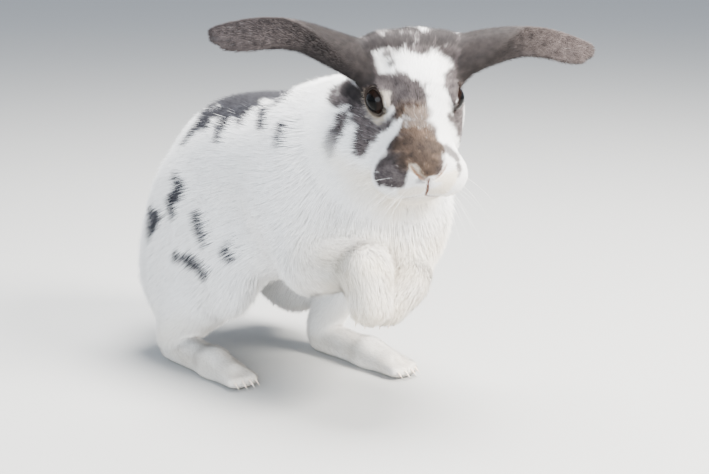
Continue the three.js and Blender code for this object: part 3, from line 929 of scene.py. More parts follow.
SADDLE = [
    [
        (-52, 57, 203, 7.1), (-46, 47, 210, 8.4), (-40, 36, 216, 8.9), (-31, 28, 221, 8.8),
        (-23, 19, 223, 8.4), (-10, 16, 225, 6.5), (-32, -35, 233, 3.1),
    ],
    [(-42, 15, 215, 6), (-34, 7, 220, 5.5)],
    [(-49, 26, 210, 5.5), (-55, 24, 203, 3.9), (-61, 22, 194, 1.6)],
    [(-45, 10, 213, 4.6), (-51, 5, 208, 2)],
    [(-52, 46, 205, 4.7), (-56, 46, 200, 2.1)],
    [(-54, 61, 200, 3.3), (-57, 68, 192, 2.4), (-61, 71, 184, 1.2)],
    [(-39, -13, 221, 2.3), (-51, -25, 216, 1.8), (-58, -36, 210, 0.9)],
    [(-37, -27, 227, 3.3), (-38, -35, 230, 2.4)],
]
SPOTS = [
    [(-80, 94, 117, 3.6)],
    [(-59, -64, 216, 1.7), (-63, -65, 209, 3.2), (-66, -66, 201, 1.7)],
    [
        (-73, 65, 159, 2.4), (-75, 57, 153, 4.5), (-76, 58, 146, 4.5), (-77, 65, 141, 4),
        (-79, 63, 134, 3.1), (-79, 61, 128, 1.7),
    ],
    [(-75, 105, 126, 2.4), (-80, 83, 122, 4.1), (-81, 92, 113, 3.1), (-82, 95, 104, 1.9)],
    [(-76, 104, 124, 1.7), (-81, 98, 106, 1.5)],
    [(-74, 35, 132, 2.3), (-75, 31, 125, 4.4), (-76, 24, 118, 3.5), (-76, 19, 112, 1.6)],
    [(-68, -2, 117, 1.6), (-70, -3, 109, 3.2), (-68, -8, 104, 2.3)],
    [(-81, 53, 97, 2.4), (-80, 39, 94, 4.2), (-80, 25, 93, 3.9), (-79, 16, 88, 1.8)],
]
SADDLE_OVER = [
    [(-30, 66, 208, 14), (-8, 70, 214, 18), (20, 72, 209, 16)],
    [(-22, 42, 220, 15), (0, 44, 222, 18), (26, 46, 218, 15)],
    [(-8, 20, 226, 12), (10, 18, 226, 12), (26, 20, 222, 9)],
    [(4, -8, 229, 6), (6, -22, 231, 3)],
    [(-20, 96, 196, 9), (4, 98, 197, 10), (20, 92, 198, 8)],
]

body_marks = [
    (1.0, 2.8, blot(*SADDLE, *SADDLE_OVER, *(flipped(chain, (0, 5, 0)) for chain in SADDLE))),
    (0.95, 2.2, blot(*SPOTS)),
    (0.95, 2.4, blot(*(flipped(chain, (0, -9, 6)) for chain in SPOTS))),
    (1.0, 3.5, blot([(0, 160, 142, 15), (0, 174, 130, 13), (0, 172, 146, 13)])),
]

EAR_COLUMNS = [PART_NAMES.index("ear_right"), PART_NAMES.index("ear_left")]


def painted_ear_shade(p, ear_distance):
    """How much painted shade darkens the ear beyond its plain grey: underneath, inside the fold and towards the
    root; at the tip it is a little paler than its plain grey.
    """
    shade = np.zeros(len(p))
    near = ear_distance < 6
    for side in (LEFT, RIGHT):
        held = near & (to_local(HEAD, p)[:, 0] * side > 0)
        if held.any():
            _, at = EARS[side].place(p[held])
            along, across, up, radius = at.T
            # painted shade under the ear and inside its fold, stronger towards the root
            low = ramp(-up / radius, -0.35, 0.5)
            inner = 1 - ramp(np.hypot(across, up) / radius, 0.75, 1.0)
            root = 1 - ramp(along, 0.2, 0.75)
            shade[held] = np.maximum(low, 0.7 * inner) * (0.4 + 0.6 * root)
            shade[held] += 1.2 * (1 - ramp(along, 0.05, 0.9)) - 0.12
    return shade


def marked(marks, whites, p, ragged):
    """How strongly the points are coloured by the marks, less the white streaks over them."""
    grey = np.zeros(len(p))
    for strength, edge, field in marks:
        d = field(p) + ragged * edge
        grey = np.maximum(grey, strength * (1 - ramp(d, -edge, edge)))
    for edge, field in whites:
        grey *= ramp(field(p) + 0.8 * ragged * edge, -edge, edge)
    return grey


pale_rings = {RIGHT: blot(*RING), LEFT: blot(*(flipped(chain) for chain in RING))}


def markings_and_painted_shade(p):
    """Three shares at every point of the coat's surface: grey, brown tint and cream. Besides the markings, the
    grey holds painted shade on the ears, behind the eye and above the near eye, and the cream holds a painted
    warm shade low on the body and under the chin.
    """
    distances = part_distances(p)
    q = to_local(HEAD, p)
    ragged = 0.75 * cloud(p, 6, 1) + 0.45 * cloud(p, 2.6, 2)
    ragged_body = 0.9 * cloud(p, 10, 3) + 0.6 * cloud(p, 4, 4)
    head = 1 - ramp(distances[:, PART_NAMES.index("head")], 9, 26)
    ear_distance = distances[:, EAR_COLUMNS].min(1)
    in_head = marked(head_marks, head_whites, q, ragged)
    in_head = np.minimum(in_head, 0.96 + 0.8 * ramp(bridge_middle(q) + 0.8 * ragged, 0, 15))
    in_head = np.maximum(in_head, 0.9 * (1 - ramp(forehead_spot(q) + 0.8 * ragged, -1.0, 1.4)))
    mottle = 0.5 + 0.5 * cloud(p * (1, 0.7, 0.7), 6.0, 5) + 0.25 * cloud(p, 2.4, 11)
    crown = ramp(q[:, 2], 26, 34) * ramp(q[:, 1], 9, 14)
    in_head = np.maximum(in_head, DARKEST * crown * (1 - 0.85 * ramp(mottle, 0.58, 0.86)))
    in_head *= 1 + 0.35 * crown * (1 - ramp(mottle, 0.3, 0.6) - ramp(mottle, 0.6, 0.85))
    in_body = 1.6 * marked(body_marks, [], p, ragged_body - 0.7)
    grey = np.maximum(in_head * head, in_body * (1 - head))
    ear = (1 - ramp(ear_distance + 1.2 * ragged, 0.5, 5.0)) * ramp(np.abs(q[:, 0]), 24, 34)
    ear *= 1.22 - 0.12 * ramp(cloud(p, 7, 10), 0.35, 0.75)
    # the ear's grey, with painted shade under it, inside its fold and towards its root
    grey = np.maximum(grey, ear + painted_ear_shade(p, ear_distance) * ear)
    near_ring = np.zeros(len(p))
    for side in (LEFT, RIGHT):
        ring = 1 - ramp(pale_rings[side](q) + 0.6 * ragged, -0.8, 1.0)
        from_eye = q - mirrored(EYE_AT, side)
        above = from_eye @ (0, 0.62, 0.79)
        reach = lengths(from_eye) - 2 * ramp(from_eye @ (0, -0.79, 0.62), 4, 9) * ramp(above, -7, -2)
        ring = np.maximum(ring, 1 - ramp(reach, *EYE_RING))
        # painted shade: on the near eye the ring turns dark grey above the eye, under the brow and lashes; on
        # the far eye the ring is dark all round
        dim = ramp(above, 7, 11) if side == RIGHT else 1.0
        grey = grey * (1 - ring) + (0.66 + 0.6 * dim) * ring
        near_ring = np.maximum(near_ring, ring * (1 - dim))
    lips = 1 - ramp(pale_lips(q) + 1.2 * ragged, -1.6, 1.6)
    grey *= 1 - 0.92 * lips
    tan = 1 - ramp(nostril_tan(q) + 0.6 * ragged, -1, 1)
    grey = np.maximum(grey * (1 - 0.35 * tan), 0.5 * tan)
    warm = np.maximum((0.4 + 0.6 * (1 - ramp(nose_warmth(q), -3, 6))) * head, 0.4 * ear)
    warm = np.maximum.reduce([warm, 0.8 * near_ring, tan])
    # painted shade: the lower chest, the chin and everything low near the floor take the darker, warmer cream
    # of the shade under the body
    shaded_low_chest = ramp(-p[:, 1], 70, 120) * ramp(-p[:, 2], -170, -110)
    shaded_chin = ramp(-q[:, 2], 22, 34) * head
    cream = np.maximum.reduce(
        [0.7 * shaded_low_chest, 0.7 * shaded_chin, 0.45 * ramp(-p[:, 2], -60, -10), 0.75 * lips, tan, near_ring]
    )
    cream *= 0.85 + 0.3 * cloud(p, 14, 6)
    return np.clip(np.column_stack([grey, warm, cream]), 0, (DARKEST, 1, 1))


# ---------------------------------------------------------------- the lie and the length of the coat

NOSE_TIP = (0, -68, -4)


def direction(*xyz):
    return np.array(xyz, float) / math.sqrt(sum(v * v for v in xyz))


def along_limb(line):
    return direction(*(np.array(line[1], float) - line[0]))


def trunk_lie(p):
    """Backwards along the back, sinking down the flanks, and straight down the chest and the rump."""
    flank = ramp(-p[:, 2], -205, -120)
    front = ramp(-p[:, 1], 60, 125)
    rump = ramp(p[:, 1], 70, 150)
    down = 0.12 + 0.5 * flank + 1.3 * front + 1.5 * rump
    out = 0.25 * np.sign(p[:, 0]) * ramp(np.abs(p[:, 0]), 0, 30)
    return np.column_stack([out, 1 - 0.75 * front, -down])


def head_lie(p):
    """Away from the nose, round the eyes, and back over the cheeks."""
    q = to_local(HEAD, p)
    away = unit(q - np.array(NOSE_TIP))
    away = unit(away + np.array([0, 0.55, -0.05]))
    for side in (LEFT, RIGHT):
        from_eye = q - (mirrored(EYE_AT, side) + mirrored((-1, -1, 0), side))
        near = 1 - ramp(lengths(from_eye), 10, 17)
        away = unit(away + 2.2 * near[:, None] * unit(from_eye))
    lips = 1 - ramp(lengths(q - np.array((0, -66, -20))), 6, 18)
    away = unit(away + lips[:, None] * (np.array([0, 0.2, -0.9]) + q * (0.048, 0, 0)))
    return away @ HEAD[0].T


def ear_lie(side):
    def lie(p):
        _, at = EARS[side].place(p)
        along = EARS[side].along
        step = np.clip(at[:, 0] * EAR_STEPS, 0, EAR_STEPS - 1e-6)
        low = step.astype(int)
        share = (step - low)[:, None]
        return (along[low] * (1 - share) + along[low + 1] * share) @ HEAD[0].T

    return lie


def constant_lie(way):
    return lambda p: np.tile(way, (len(p), 1))


def frame_lie(local_frame, way):
    return constant_lie(local_frame[0] @ direction(*way))


LIE = {
    "trunk": trunk_lie,
    "neck": lambda p: np.column_stack(
        [0.3 * np.sign(p[:, 0]) * ramp(np.abs(p[:, 0] - 4), 0, 30), np.full(len(p), 0.75),
         -0.35 - 1.1 * ramp(-p[:, 2], -225, -160)]
    ),
    "head": head_lie,
    "ear_right": ear_lie(RIGHT),
    "ear_left": ear_lie(LEFT),
    "tail": constant_lie(direction(0, 0.8, 0.6)),
}
for side_name, side in SIDES.items():
    LIE[f"foreleg_{side_name}"] = constant_lie(along_limb(FORELEG_LINE[side]))
    LIE[f"forepaw_{side_name}"] = frame_lie(FORE[side], (0, -1, 0))
    LIE[f"haunch_{side_name}"] = lambda p: np.column_stack(
        [0.1 * np.sign(p[:, 0]), np.full(len(p), 0.55), -0.45 - 0.5 * ramp(-p[:, 2], -140, -60)]
    )
    LIE[f"hind_shank_{side_name}"] = constant_lie(along_limb(SHANK_LINE[side]))
    LIE[f"hind_foot_{side_name}"] = frame_lie(HIND[side], (0, -1, -0.12))


def head_length(p):
    """Velvet on the nose and round the eyes, longer over the cheeks, the crown and the nape."""
    q = to_local(HEAD, p)
    size = 3.0 + 3.5 * ramp(q[:, 1], -50, 0) + 4.5 * ramp(q[:, 1], 10, 45)
    size += 3.0 * ramp(-q[:, 2], 16, 36) * ramp(q[:, 1], -50, -20)
    for side in (LEFT, RIGHT):
        near = 1 - ramp(lengths(q - mirrored(EYE_AT, side)), 12, 20)
        size += (2.6 - size) * near
    return size


HAIR_LENGTH = {
    "trunk": 17, "neck": 17, "head": head_length, "tail": 17,
    "ear_right": 4.6, "ear_left": 4.6,
}
for side_name in SIDES:
    HAIR_LENGTH[f"foreleg_{side_name}"] = 12
    HAIR_LENGTH[f"forepaw_{side_name}"] = 9
    HAIR_LENGTH[f"haunch_{side_name}"] = 16.5
    HAIR_LENGTH[f"hind_shank_{side_name}"] = 11
    HAIR_LENGTH[f"hind_foot_{side_name}"] = 7


def shares(distances, softness=5.0):
    """How much of each part a point belongs to."""
    nearest = distances.min(1)[:, None]
    weight = np.exp(-np.clip(distances - nearest, 0, 60) / softness)
    return weight / weight.sum(1)[:, None]


def lie_and_length(p, normals, distances):
    """The direction in which the hair lies on the skin, and its length, at every point."""
    share = shares(distances)
    lie = np.zeros((len(p), 3))
    size = np.zeros(len(p))
    for column, name in enumerate(PART_NAMES):
        held = share[:, column] > 0.02
        if held.any():
            weight = share[held, column]
            lie[held] += unit(LIE[name](p[held])) * weight[:, None]
            length = HAIR_LENGTH[name]
            size[held] += weight * (length(p[held]) if callable(length) else length)
    lie -= normals * (lie * normals).sum(1)[:, None]
    return unit(lie + 1e-6), size


# ---------------------------------------------------------------- the coat

TUFT_PATCH = 0.003  # the room of one tuft on the unwrap
ROOT_SUNK = 0.4  # how far every root is sunk in the skin
SOLE = 0.9  # no hair is rooted lower than this
LOWEST_TIP = 0.25
HAIR_MARGIN = 0.6  # what the hair keeps clear of the lids' inner edge
TUFTS_PER_LOCK = 10
LOCK_STRENGTH = 0.2  # how far the tips of a lock are drawn together


class Skin:
    """The finished skin: its shape, the lie, length and depth of its hair, its colours and its parts."""

    def __init__(self):
        self.points, faces = skin_shape()
        fans = [(face[0], face[i], face[i + 1]) for face in faces for i in range(1, len(face) - 1)]
        self.triangles = np.array(fans)
        self.normals = unit(field_and_slope(detailed_skin, self.points)[1])
        distances = part_distances(self.points) + coat_depths(self.points)
        self.lie, self.length = lie_and_length(self.points, self.normals, distances)
        self.depth = -outline(self.points)
        self.marking_and_shade = markings_and_painted_shade(self.points + self.normals * self.depth[:, None])
        q = to_local(HEAD, self.points)
        openings = np.minimum(np.minimum(lip_split(q), nostrils(q)), mouth_line(q))
        self.bare = 1 - ramp(openings, 0.5, 1.2)
        self.part = distances.argmin(1)
        a, b, c = (self.points[self.triangles[:, i]] for i in range(3))
        self.areas = lengths(np.cross(b - a, c - a)) / 2
        self.middles = (a + b + c) / 3


def free_of_openings(p):
    """True where hair may grow: outside the eyes, the nostrils, the lips' edges and under the feet."""
    q = to_local(HEAD, p)
    free = p[:, 2] > SOLE
    for side in (LEFT, RIGHT):
        away, ahead, wide = about_eye(q, side)
        free &= ~((away < 14) & (wide < LID_RADIUS + 0.3) & (ahead > -1))
    free &= nostrils(q) > 0.3
    free &= lip_split(q) > 0.45
    return free & (mouth_line(q) > 1.2)


def unwrapped(points, triangles):
    """Places on an unwrap of these triangles, one for each of their corners."""
    used, local = np.unique(triangles, return_inverse=True)
    mesh = bpy.data.meshes.new("unwrap")
    mesh.from_pydata(points[used].tolist(), [], local.reshape(-1, 3).tolist())
    thing = bpy.data.objects.new("unwrap", mesh)
    bpy.context.scene.collection.objects.link(thing)
    bpy.context.view_layer.objects.active = thing
    thing.select_set(True)
    mesh.uv_layers.new(name="UVMap")
    bpy.ops.object.mode_set(mode="EDIT")
    bpy.ops.mesh.select_all(action="SELECT")
    bpy.ops.uv.smart_project(angle_limit=math.radians(70), island_margin=0.006, scale_to_bounds=True)
    bpy.ops.object.mode_set(mode="OBJECT")
    places = np.zeros(len(mesh.loops) * 2, np.float32)
    mesh.uv_layers[0].uv.foreach_get("vector", places)
    bpy.data.objects.remove(thing)
    bpy.data.meshes.remove(mesh)
    places = places.reshape(-1, 2)
    low, high = places.min(0), places.max(0)
    return (0.004 + 0.992 * (places - low) / (high - low)).reshape(-1, 3, 2)


def clumped(roots, tips, rng, strength):
    """Draws each tip towards the tip of a nearby leading tuft, so that the coat parts into small locks."""
    leaders = rng.choice(len(roots), max(1, len(roots) // TUFTS_PER_LOCK), replace=False)
    tree = KDTree(len(leaders))
    for i, leader in enumerate(leaders):
        tree.insert(roots[leader], i)
    tree.balance()
    lead = leaders[[tree.find(root)[1] for root in roots.tolist()]]
    pull = (tips[lead] - roots[lead]) - (tips - roots)
    gather = roots[lead] - roots
    return strength * (0.45 * gather + 0.6 * pull)


def roots_on(skin, chosen, count, rng):
    """Even random roots over the chosen triangles: the triangle of each, and its place in it."""
    weight = np.cumsum(skin.areas[chosen] / (skin.length[skin.triangles[chosen]].mean(1) ** 0.5))
    at = (np.arange(count) + rng.random(count)) / count * weight[-1]
    index = np.minimum(np.searchsorted(weight, at), len(chosen) - 1)
    a, b = rng.random(count), rng.random(count)
    fold = a + b > 1
    a[fold], b[fold] = 1 - a[fold], 1 - b[fold]
    return index, np.column_stack([1 - a - b, a, b])


def eye_opening(p):
    """True where a point is in front of an eye's globe, inside the lids."""
    q = to_local(HEAD, p)
    inside = np.zeros(len(p), bool)
    for side in (LEFT, RIGHT):
        away, ahead, wide = about_eye(q, side)
        inside |= (away < 20) & (wide < LID_RADIUS - LID_ROLL + HAIR_MARGIN) & (ahead > 0)
    return inside


def grow(skin, name, chosen, count, slim, seed, stray, lift, shag):
    """One piece of the coat: thin closed spikes rooted on the chosen triangles, along the lie of the hair."""
    rng = np.random.default_rng(seed)
    chosen = np.flatnonzero(chosen)
    index, inside = roots_on(skin, chosen, count, rng)
    corners = skin.triangles[chosen[index]]

    def blend(values):
        return (values[corners] * inside[:, :, None]).sum(1)

    uv = (unwrapped(skin.points, skin.triangles[chosen])[index] * inside[:, :, None]).sum(1)
    root = blend(skin.points)
    normal = unit(blend(skin.normals))
    lie = unit(blend(skin.lie))
    depth = blend(skin.depth[:, None])[:, 0]
    long = blend(skin.length[:, None])[:, 0] * rng.uniform(0.72, 1.15, count)
    sideways = np.cross(normal, lie)
    swing = 0.16 * cloud(root, 26, 7) + 0.12 * cloud(root, 9, 8) + rng.normal(0, 0.11, count)
    lie = unit(lie + sideways * swing[:, None])
    height = rng.uniform(lift, 1.1, count) + 0.10 * cloud(root, 7, 9)
    height += 0.25 * (rng.random(count) < 0.08)
    rise = np.clip(height * depth, 0.1 * long, 0.5 * long)
    tip = root + lie * np.sqrt(long**2 - rise**2)[:, None] + normal * rise[:, None]
    tip += clumped(root, tip, rng, LOCK_STRENGTH * shag)
    away, slope = field_and_slope(outline, tip)
    slope = unit(slope)
    tip -= slope * (away + depth - rise)[:, None].clip(-8, 8)
    tip[:, 2] = np.maximum(tip[:, 2], LOWEST_TIP)
    keep = free_of_openings(root) & ~eye_opening(tip) & ~eye_opening((root + tip) / 2)
    root, tip, normal, slope, lie, sideways, depth, long, uv = (
        values[keep] for values in (root, tip, normal, slope, lie, sideways, depth, long, uv)
    )
    count = len(root)

    width = (slim * long * rng.uniform(0.8, 1.2, count))[:, None]
    start = root - normal * ROOT_SUNK
    points, shading, patch = [], [], []
    for across, lift_share in ((-0.5, 0.0), (0.5, 0.0), (0.0, 0.42)):
        points.append(start + sideways * width * across + normal * width * lift_share)
        shading.append(unit(normal + sideways * (0.7 * across)))
        patch.append((across, -0.5))
    points.append(tip)
    shading.append(unit(slope + 0.5 * normal))
    patch.append((0, 0.5))
    points = np.stack(points, 1).reshape(-1, 3)
    shading = np.stack(shading, 1).reshape(-1, 3)
    patch = np.tile(np.array(patch) * TUFT_PATCH, (count, 1)) + np.repeat(uv, 4, 0)
    spike = np.array([(0, 2, 1), (0, 1, 3), (1, 2, 3), (2, 0, 3)])
    triangles = (spike[None] + np.arange(count)[:, None, None] * 4).reshape(-1, 3)

    seen_at = root + lie * (long * 0.5)[:, None] + normal * depth[:, None]
    seen_at += rng.normal(0, 0.05, (count, 3)) * long[:, None]
    tuft = np.column_stack(
        [np.tile((0.0, 0.0, 0.0, 1.0), count), np.repeat(0.5 + shag * (rng.random(count) - 0.5), 4),
         np.repeat((rng.random(count) < stray).astype(float), 4)]
    )
    return {
        "name": name,
        "points": points,
        "triangles": triangles,
        "normals": shading,
        "uv": patch,
        "marking_and_shade": np.repeat(markings_and_painted_shade(seen_at), 4, 0),
        "tuft": tuft,
    }


def add_vectors(mesh, name, values):
    layer = mesh.attributes.new(name, "FLOAT_VECTOR", "POINT")
    layer.data.foreach_set("vector", values.astype(np.float32).ravel())


def linked(name, mesh, material):
    mesh.materials.append(material)
    thing = bpy.data.objects.new(name, mesh)
    bpy.context.scene.collection.objects.link(thing)
    return thing


def mesh_of(name, points, triangles):
    """A mesh from arrays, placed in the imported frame."""
    mesh = bpy.data.meshes.new(name)
    mesh.vertices.add(len(points))
    mesh.vertices.foreach_set("co", packed(points).astype(np.float32).ravel())
    mesh.loops.add(triangles.size)
    mesh.loops.foreach_set("vertex_index", triangles.astype(np.int32).ravel())
    mesh.polygons.add(len(triangles))
    mesh.polygons.foreach_set("loop_start", np.arange(0, triangles.size, 3, dtype=np.int32))
    mesh.update(calc_edges=True)
    mesh.shade_smooth()
    return mesh


def coat_piece(made, material):
    mesh = mesh_of(made["name"], made["points"], made["triangles"])
    layer = mesh.uv_layers.new(name="OFBake", do_init=False)
    layer.uv.foreach_set("vector", made["uv"][made["triangles"].ravel()].astype(np.float32).ravel())
    add_vectors(mesh, "marking_and_shade", made["marking_and_shade"])
    add_vectors(mesh, "tuft", made["tuft"])
    mesh.normals_split_custom_set_from_vertices(made["normals"])
    piece = linked(made["name"], mesh, material)
    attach(piece, "root")
    return piece


def coat_plan(skin):
    """For every piece: its name, where it grows, the number of tufts, their width over their length, the
    share of stray white hairs, how low the lowest tips lie, and how shaggy it is."""
    part = skin.part[skin.triangles[:, 0]]
    q = to_local(HEAD, skin.middles)

    def of(*names):
        return np.isin(part, [PART_NAMES.index(name) for name in names])

    left = skin.middles[:, 0] > 4
    head = of("head")
    legs = of("foreleg_left", "foreleg_right", "hind_shank_left", "hind_shank_right")
    feet = of("forepaw_left", "forepaw_right", "hind_foot_left", "hind_foot_right")
    return [
        ("coat_face", head & (q[:, 1] < -12), 47000, 0.11, 0.03, 0.3, 1.0),
        ("coat_cheeks_and_crown", head & (q[:, 1] >= -12), 44000, 0.07, 0.04, 0.4, 1.0),
        ("coat_ears", of("ear_left", "ear_right"), 42000, 0.08, 0.015, 0.3, 0.35),
        ("coat_neck", of("neck"), 42000, 0.046, 0.06, 0.5, 1.0),
        ("coat_trunk_left", of("trunk") & left, 43000, 0.048, 0.06, 0.5, 1.0),
        ("coat_trunk_right", of("trunk") & ~left, 43000, 0.048, 0.06, 0.5, 1.0),
        ("coat_haunches", of("haunch_left", "haunch_right"), 44000, 0.048, 0.06, 0.5, 1.0),
        ("coat_legs", legs, 34000, 0.055, 0.05, 0.55, 1.0),
        ("coat_feet", feet, 28000, 0.075, 0.05, 0.5, 1.0),
        ("coat_tail", of("tail"), 8000, 0.05, 0.05, 0.5, 1.0),
    ]


# ---------------------------------------------------------------- materials


class Nodes:
    """Adds and links nodes of one tree."""

    def __init__(self, tree):
        self.tree = tree

    def add(self, kind, inputs=None, **settings):
        node = self.tree.nodes.new(kind)
        for key, value in settings.items():
            setattr(node, key, value)
        for key, value in (inputs or {}).items():
            self.put(node.inputs[key], value)
        return node

    def put(self, socket, value):
        if isinstance(value, bpy.types.NodeSocket):
            self.tree.links.new(value, socket)
        else:
            socket.default_value = value

    def math(self, operation, a, b=0.0, c=0.0, clamp=False):
        node = self.add("ShaderNodeMath", operation=operation, use_clamp=clamp)
        for socket, value in zip(node.inputs, (a, b, c)):
            self.put(socket, value)
        return node.outputs[0]

    def mix(self, share, a, b, blend="MIX"):
        node = self.add("ShaderNodeMix", data_type="RGBA", blend_type=blend, clamp_factor=True)
        self.put(node.inputs[0], share)
        self.put(node.inputs[6], a)
        self.put(node.inputs[7], b)
        return node.outputs[2]


def rgb(red, green, blue):
    """A colour from the values a person would read off a paint chart, 0 to 255."""
    shades = (red, green, blue)
    return tuple(((v / 255 + 0.055) / 1.055) ** 2.4 if v > 10 else v / 3294.6 for v in shades) + (1,)


def group_of(name, inputs, outputs):
    tree = bpy.data.node_groups.new(name, "ShaderNodeTree")
    for label, kind in inputs:
        tree.interface.new_socket(label, in_out="INPUT", socket_type=kind)
    for label, kind in outputs:
        tree.interface.new_socket(label, in_out="OUTPUT", socket_type=kind)
    nodes = Nodes(tree)
    return tree, nodes, nodes.add("NodeGroupInput").outputs, nodes.add("NodeGroupOutput")


def coat_colour_group():
    """White, cream, blue-grey and brown hair, paler or darker towards the tip and from tuft to tuft; white and
    cream hair is given painted shade towards its root.
    """
    tree, n, given, out = group_of(
        "coat colour",
        [("Marking and shade", "NodeSocketVector"), ("Tuft", "NodeSocketVector"), ("Place", "NodeSocketVector")],
        [("Color", "NodeSocketColor")],
    )
    mark = n.add("ShaderNodeSeparateXYZ", {0: given["Marking and shade"]}).outputs
    tuft = n.add("ShaderNodeSeparateXYZ", {0: given["Tuft"]}).outputs
    grey, warm, cream = mark
    along, tone, stray = tuft
    mottle = n.add("ShaderNodeTexNoise", {"Vector": given["Place"], "Scale": 210.0, "Detail": 2.0})
    drift = n.math("MULTIPLY_ADD", mottle.outputs["Fac"], 1.3, -0.62)
    # painted shade: white and cream hair darker towards the root, where the coat shades itself
    lit = n.math("MULTIPLY_ADD", along, 0.85, n.math("MULTIPLY_ADD", tone, 0.4, -0.2), clamp=True)
    white = n.mix(lit, rgb(192, 189, 187), rgb(250, 249, 247))
    white = n.mix(cream, white, n.mix(lit, rgb(184, 166, 138), rgb(238, 226, 204)))
    pale = n.math("MULTIPLY_ADD", along, 0.26, n.math("MULTIPLY_ADD", tone, 0.6, drift), clamp=True)
    slate = n.mix(pale, rgb(28, 28, 33), rgb(88, 88, 95))
    brown = n.mix(pale, rgb(38, 29, 24), rgb(104, 85, 71))
    dark = n.mix(warm, slate, brown)
    # grey above 1 deepens towards near black: the coat's darkest patches, and painted shade on the ears and
    # behind the eye
    dark = n.mix(n.math("SUBTRACT", grey, 1.0, clamp=True), dark, rgb(23, 21, 21))
    shown = n.math("MULTIPLY", grey, n.math("MULTIPLY_ADD", stray, -0.22, 1.0), clamp=True)
    n.put(out.inputs["Color"], n.mix(shown, white, dark))
    return tree


def fur_grain_group():
    """Fine streaks that run with the lie of the hair."""
    tree, n, given, out = group_of(
        "fur grain",
        [("Lie", "NodeSocketVector"), ("Place", "NodeSocketVector"), ("Scale", "NodeSocketFloat")],
        [("Streak", "NodeSocketFloat")],
    )
    along = n.add("ShaderNodeVectorMath", {0: given["Place"], 1: given["Lie"]}, operation="DOT_PRODUCT")
    taken = n.math("MULTIPLY", along.outputs["Value"], 0.86)
    step = n.add("ShaderNodeVectorMath", {0: given["Lie"], "Scale": taken}, operation="SCALE")
    place = n.add("ShaderNodeVectorMath", {0: given["Place"], 1: step.outputs[0]}, operation="SUBTRACT")
    noise = n.add("ShaderNodeTexNoise", {"Vector": place.outputs[0], "Scale": given["Scale"], "Detail": 3.0})
    n.put(out.inputs["Streak"], noise.outputs["Fac"])
    return tree


def new_material(name):
    material = bpy.data.materials.new(name)
    material.use_nodes = True
    nodes = Nodes(material.node_tree)
    return material, nodes, material.node_tree.nodes["Principled BSDF"]


def attribute(n, name):
    return n.add("ShaderNodeAttribute", attribute_name=name, attribute_type="GEOMETRY").outputs["Vector"]


def tuft_material(name, roughness, sheen):
    material, n, shader = new_material(name)
    place = n.add("ShaderNodeTexCoord").outputs["Object"]
    colour = n.add("ShaderNodeGroup", node_tree=coat_colour)
    n.put(colour.inputs["Marking and shade"], attribute(n, "marking_and_shade"))
    n.put(colour.inputs["Tuft"], attribute(n, "tuft"))
    n.put(colour.inputs["Place"], place)
    n.put(shader.inputs["Base Color"], colour.outputs["Color"])
    shader.inputs["Roughness"].default_value = roughness
    shader.inputs["Specular IOR Level"].default_value = 0.09
    shader.inputs["Sheen Weight"].default_value = sheen
    shader.inputs["Sheen Roughness"].default_value = 0.55
    return material


def skin_material():
    """The hide: the coat's own colours and streaks, pink bare skin at the nose and lips, painted shade in the
    nostrils, the split lip and the mouth line, and dark lid rims.
    """
    material, n, shader = new_material("hide")
    place = n.add("ShaderNodeTexCoord").outputs["Object"]
    grain = n.add("ShaderNodeGroup", node_tree=fur_grain)
    n.put(grain.inputs["Lie"], attribute(n, "lie"))
    n.put(grain.inputs["Place"], place)
    grain.inputs["Scale"].default_value = 900
    streak = grain.outputs["Streak"]
    along = n.math("MULTIPLY_ADD", streak, 1.6, -0.45, clamp=True)
    tuft = n.add("ShaderNodeCombineXYZ", {0: along, 1: streak})
    colour = n.add("ShaderNodeGroup", node_tree=coat_colour)
    n.put(colour.inputs["Marking and shade"], attribute(n, "marking_and_shade"))
    n.put(colour.inputs["Tuft"], tuft.outputs[0])
    n.put(colour.inputs["Place"], place)
    bare = n.add("ShaderNodeSeparateXYZ", {0: attribute(n, "bare")}).outputs
    hide = n.mix(bare[0], colour.outputs["Color"], rgb(138, 108, 86))
    # painted shade in the creases of the nostrils, the split lip and the mouth line
    hide = n.mix(bare[1], hide, rgb(78, 48, 43))
    hide = n.mix(bare[2], hide, rgb(40, 32, 28))
    n.put(shader.inputs["Base Color"], hide)
    shader.inputs["Roughness"].default_value = 0.72
    shader.inputs["Specular IOR Level"].default_value = 0.1
    bump = n.add("ShaderNodeBump", {"Height": streak, "Strength": 0.5, "Distance": 0.0008})
    n.put(shader.inputs["Normal"], bump.outputs["Normal"])
    return material


def eye_material():
    """A dark eye: black pupil, deep brown iris seen only close to, and a wet surface."""
    material, n, shader = new_material("eye")
    ahead = n.add("ShaderNodeSeparateXYZ", {0: attribute(n, "gaze")}).outputs[0]
    noise = n.add(
        "ShaderNodeTexNoise",
        {"Vector": n.add("ShaderNodeTexCoord").outputs["Object"], "Scale": 900.0, "Detail": 3.0},
    )
    ring = n.math("ADD", ahead, n.math("MULTIPLY_ADD", noise.outputs["Fac"], 0.05, -0.025))
    iris = n.add("ShaderNodeValToRGB", {"Fac": ring})
    shades = iris.color_ramp.elements
    stops = [
        (0.0, rgb(60, 48, 41)), (0.36, rgb(32, 23, 18)), (0.46, rgb(12, 8, 6)), (0.60, rgb(20, 12, 9)),
        (0.76, rgb(16, 10, 8)), (0.82, rgb(4, 4, 4)), (1.0, rgb(4, 4, 4)),
    ]
    while len(shades) < len(stops):
        shades.new(0.5)
    for element, (at, colour) in zip(shades, stops):
        element.position = at
        element.color = colour
    n.put(shader.inputs["Base Color"], iris.outputs["Color"])
    shader.inputs["Roughness"].default_value = 0.06
    shader.inputs["IOR"].default_value = 1.36
    shader.inputs["Specular IOR Level"].default_value = 0.12
    return material


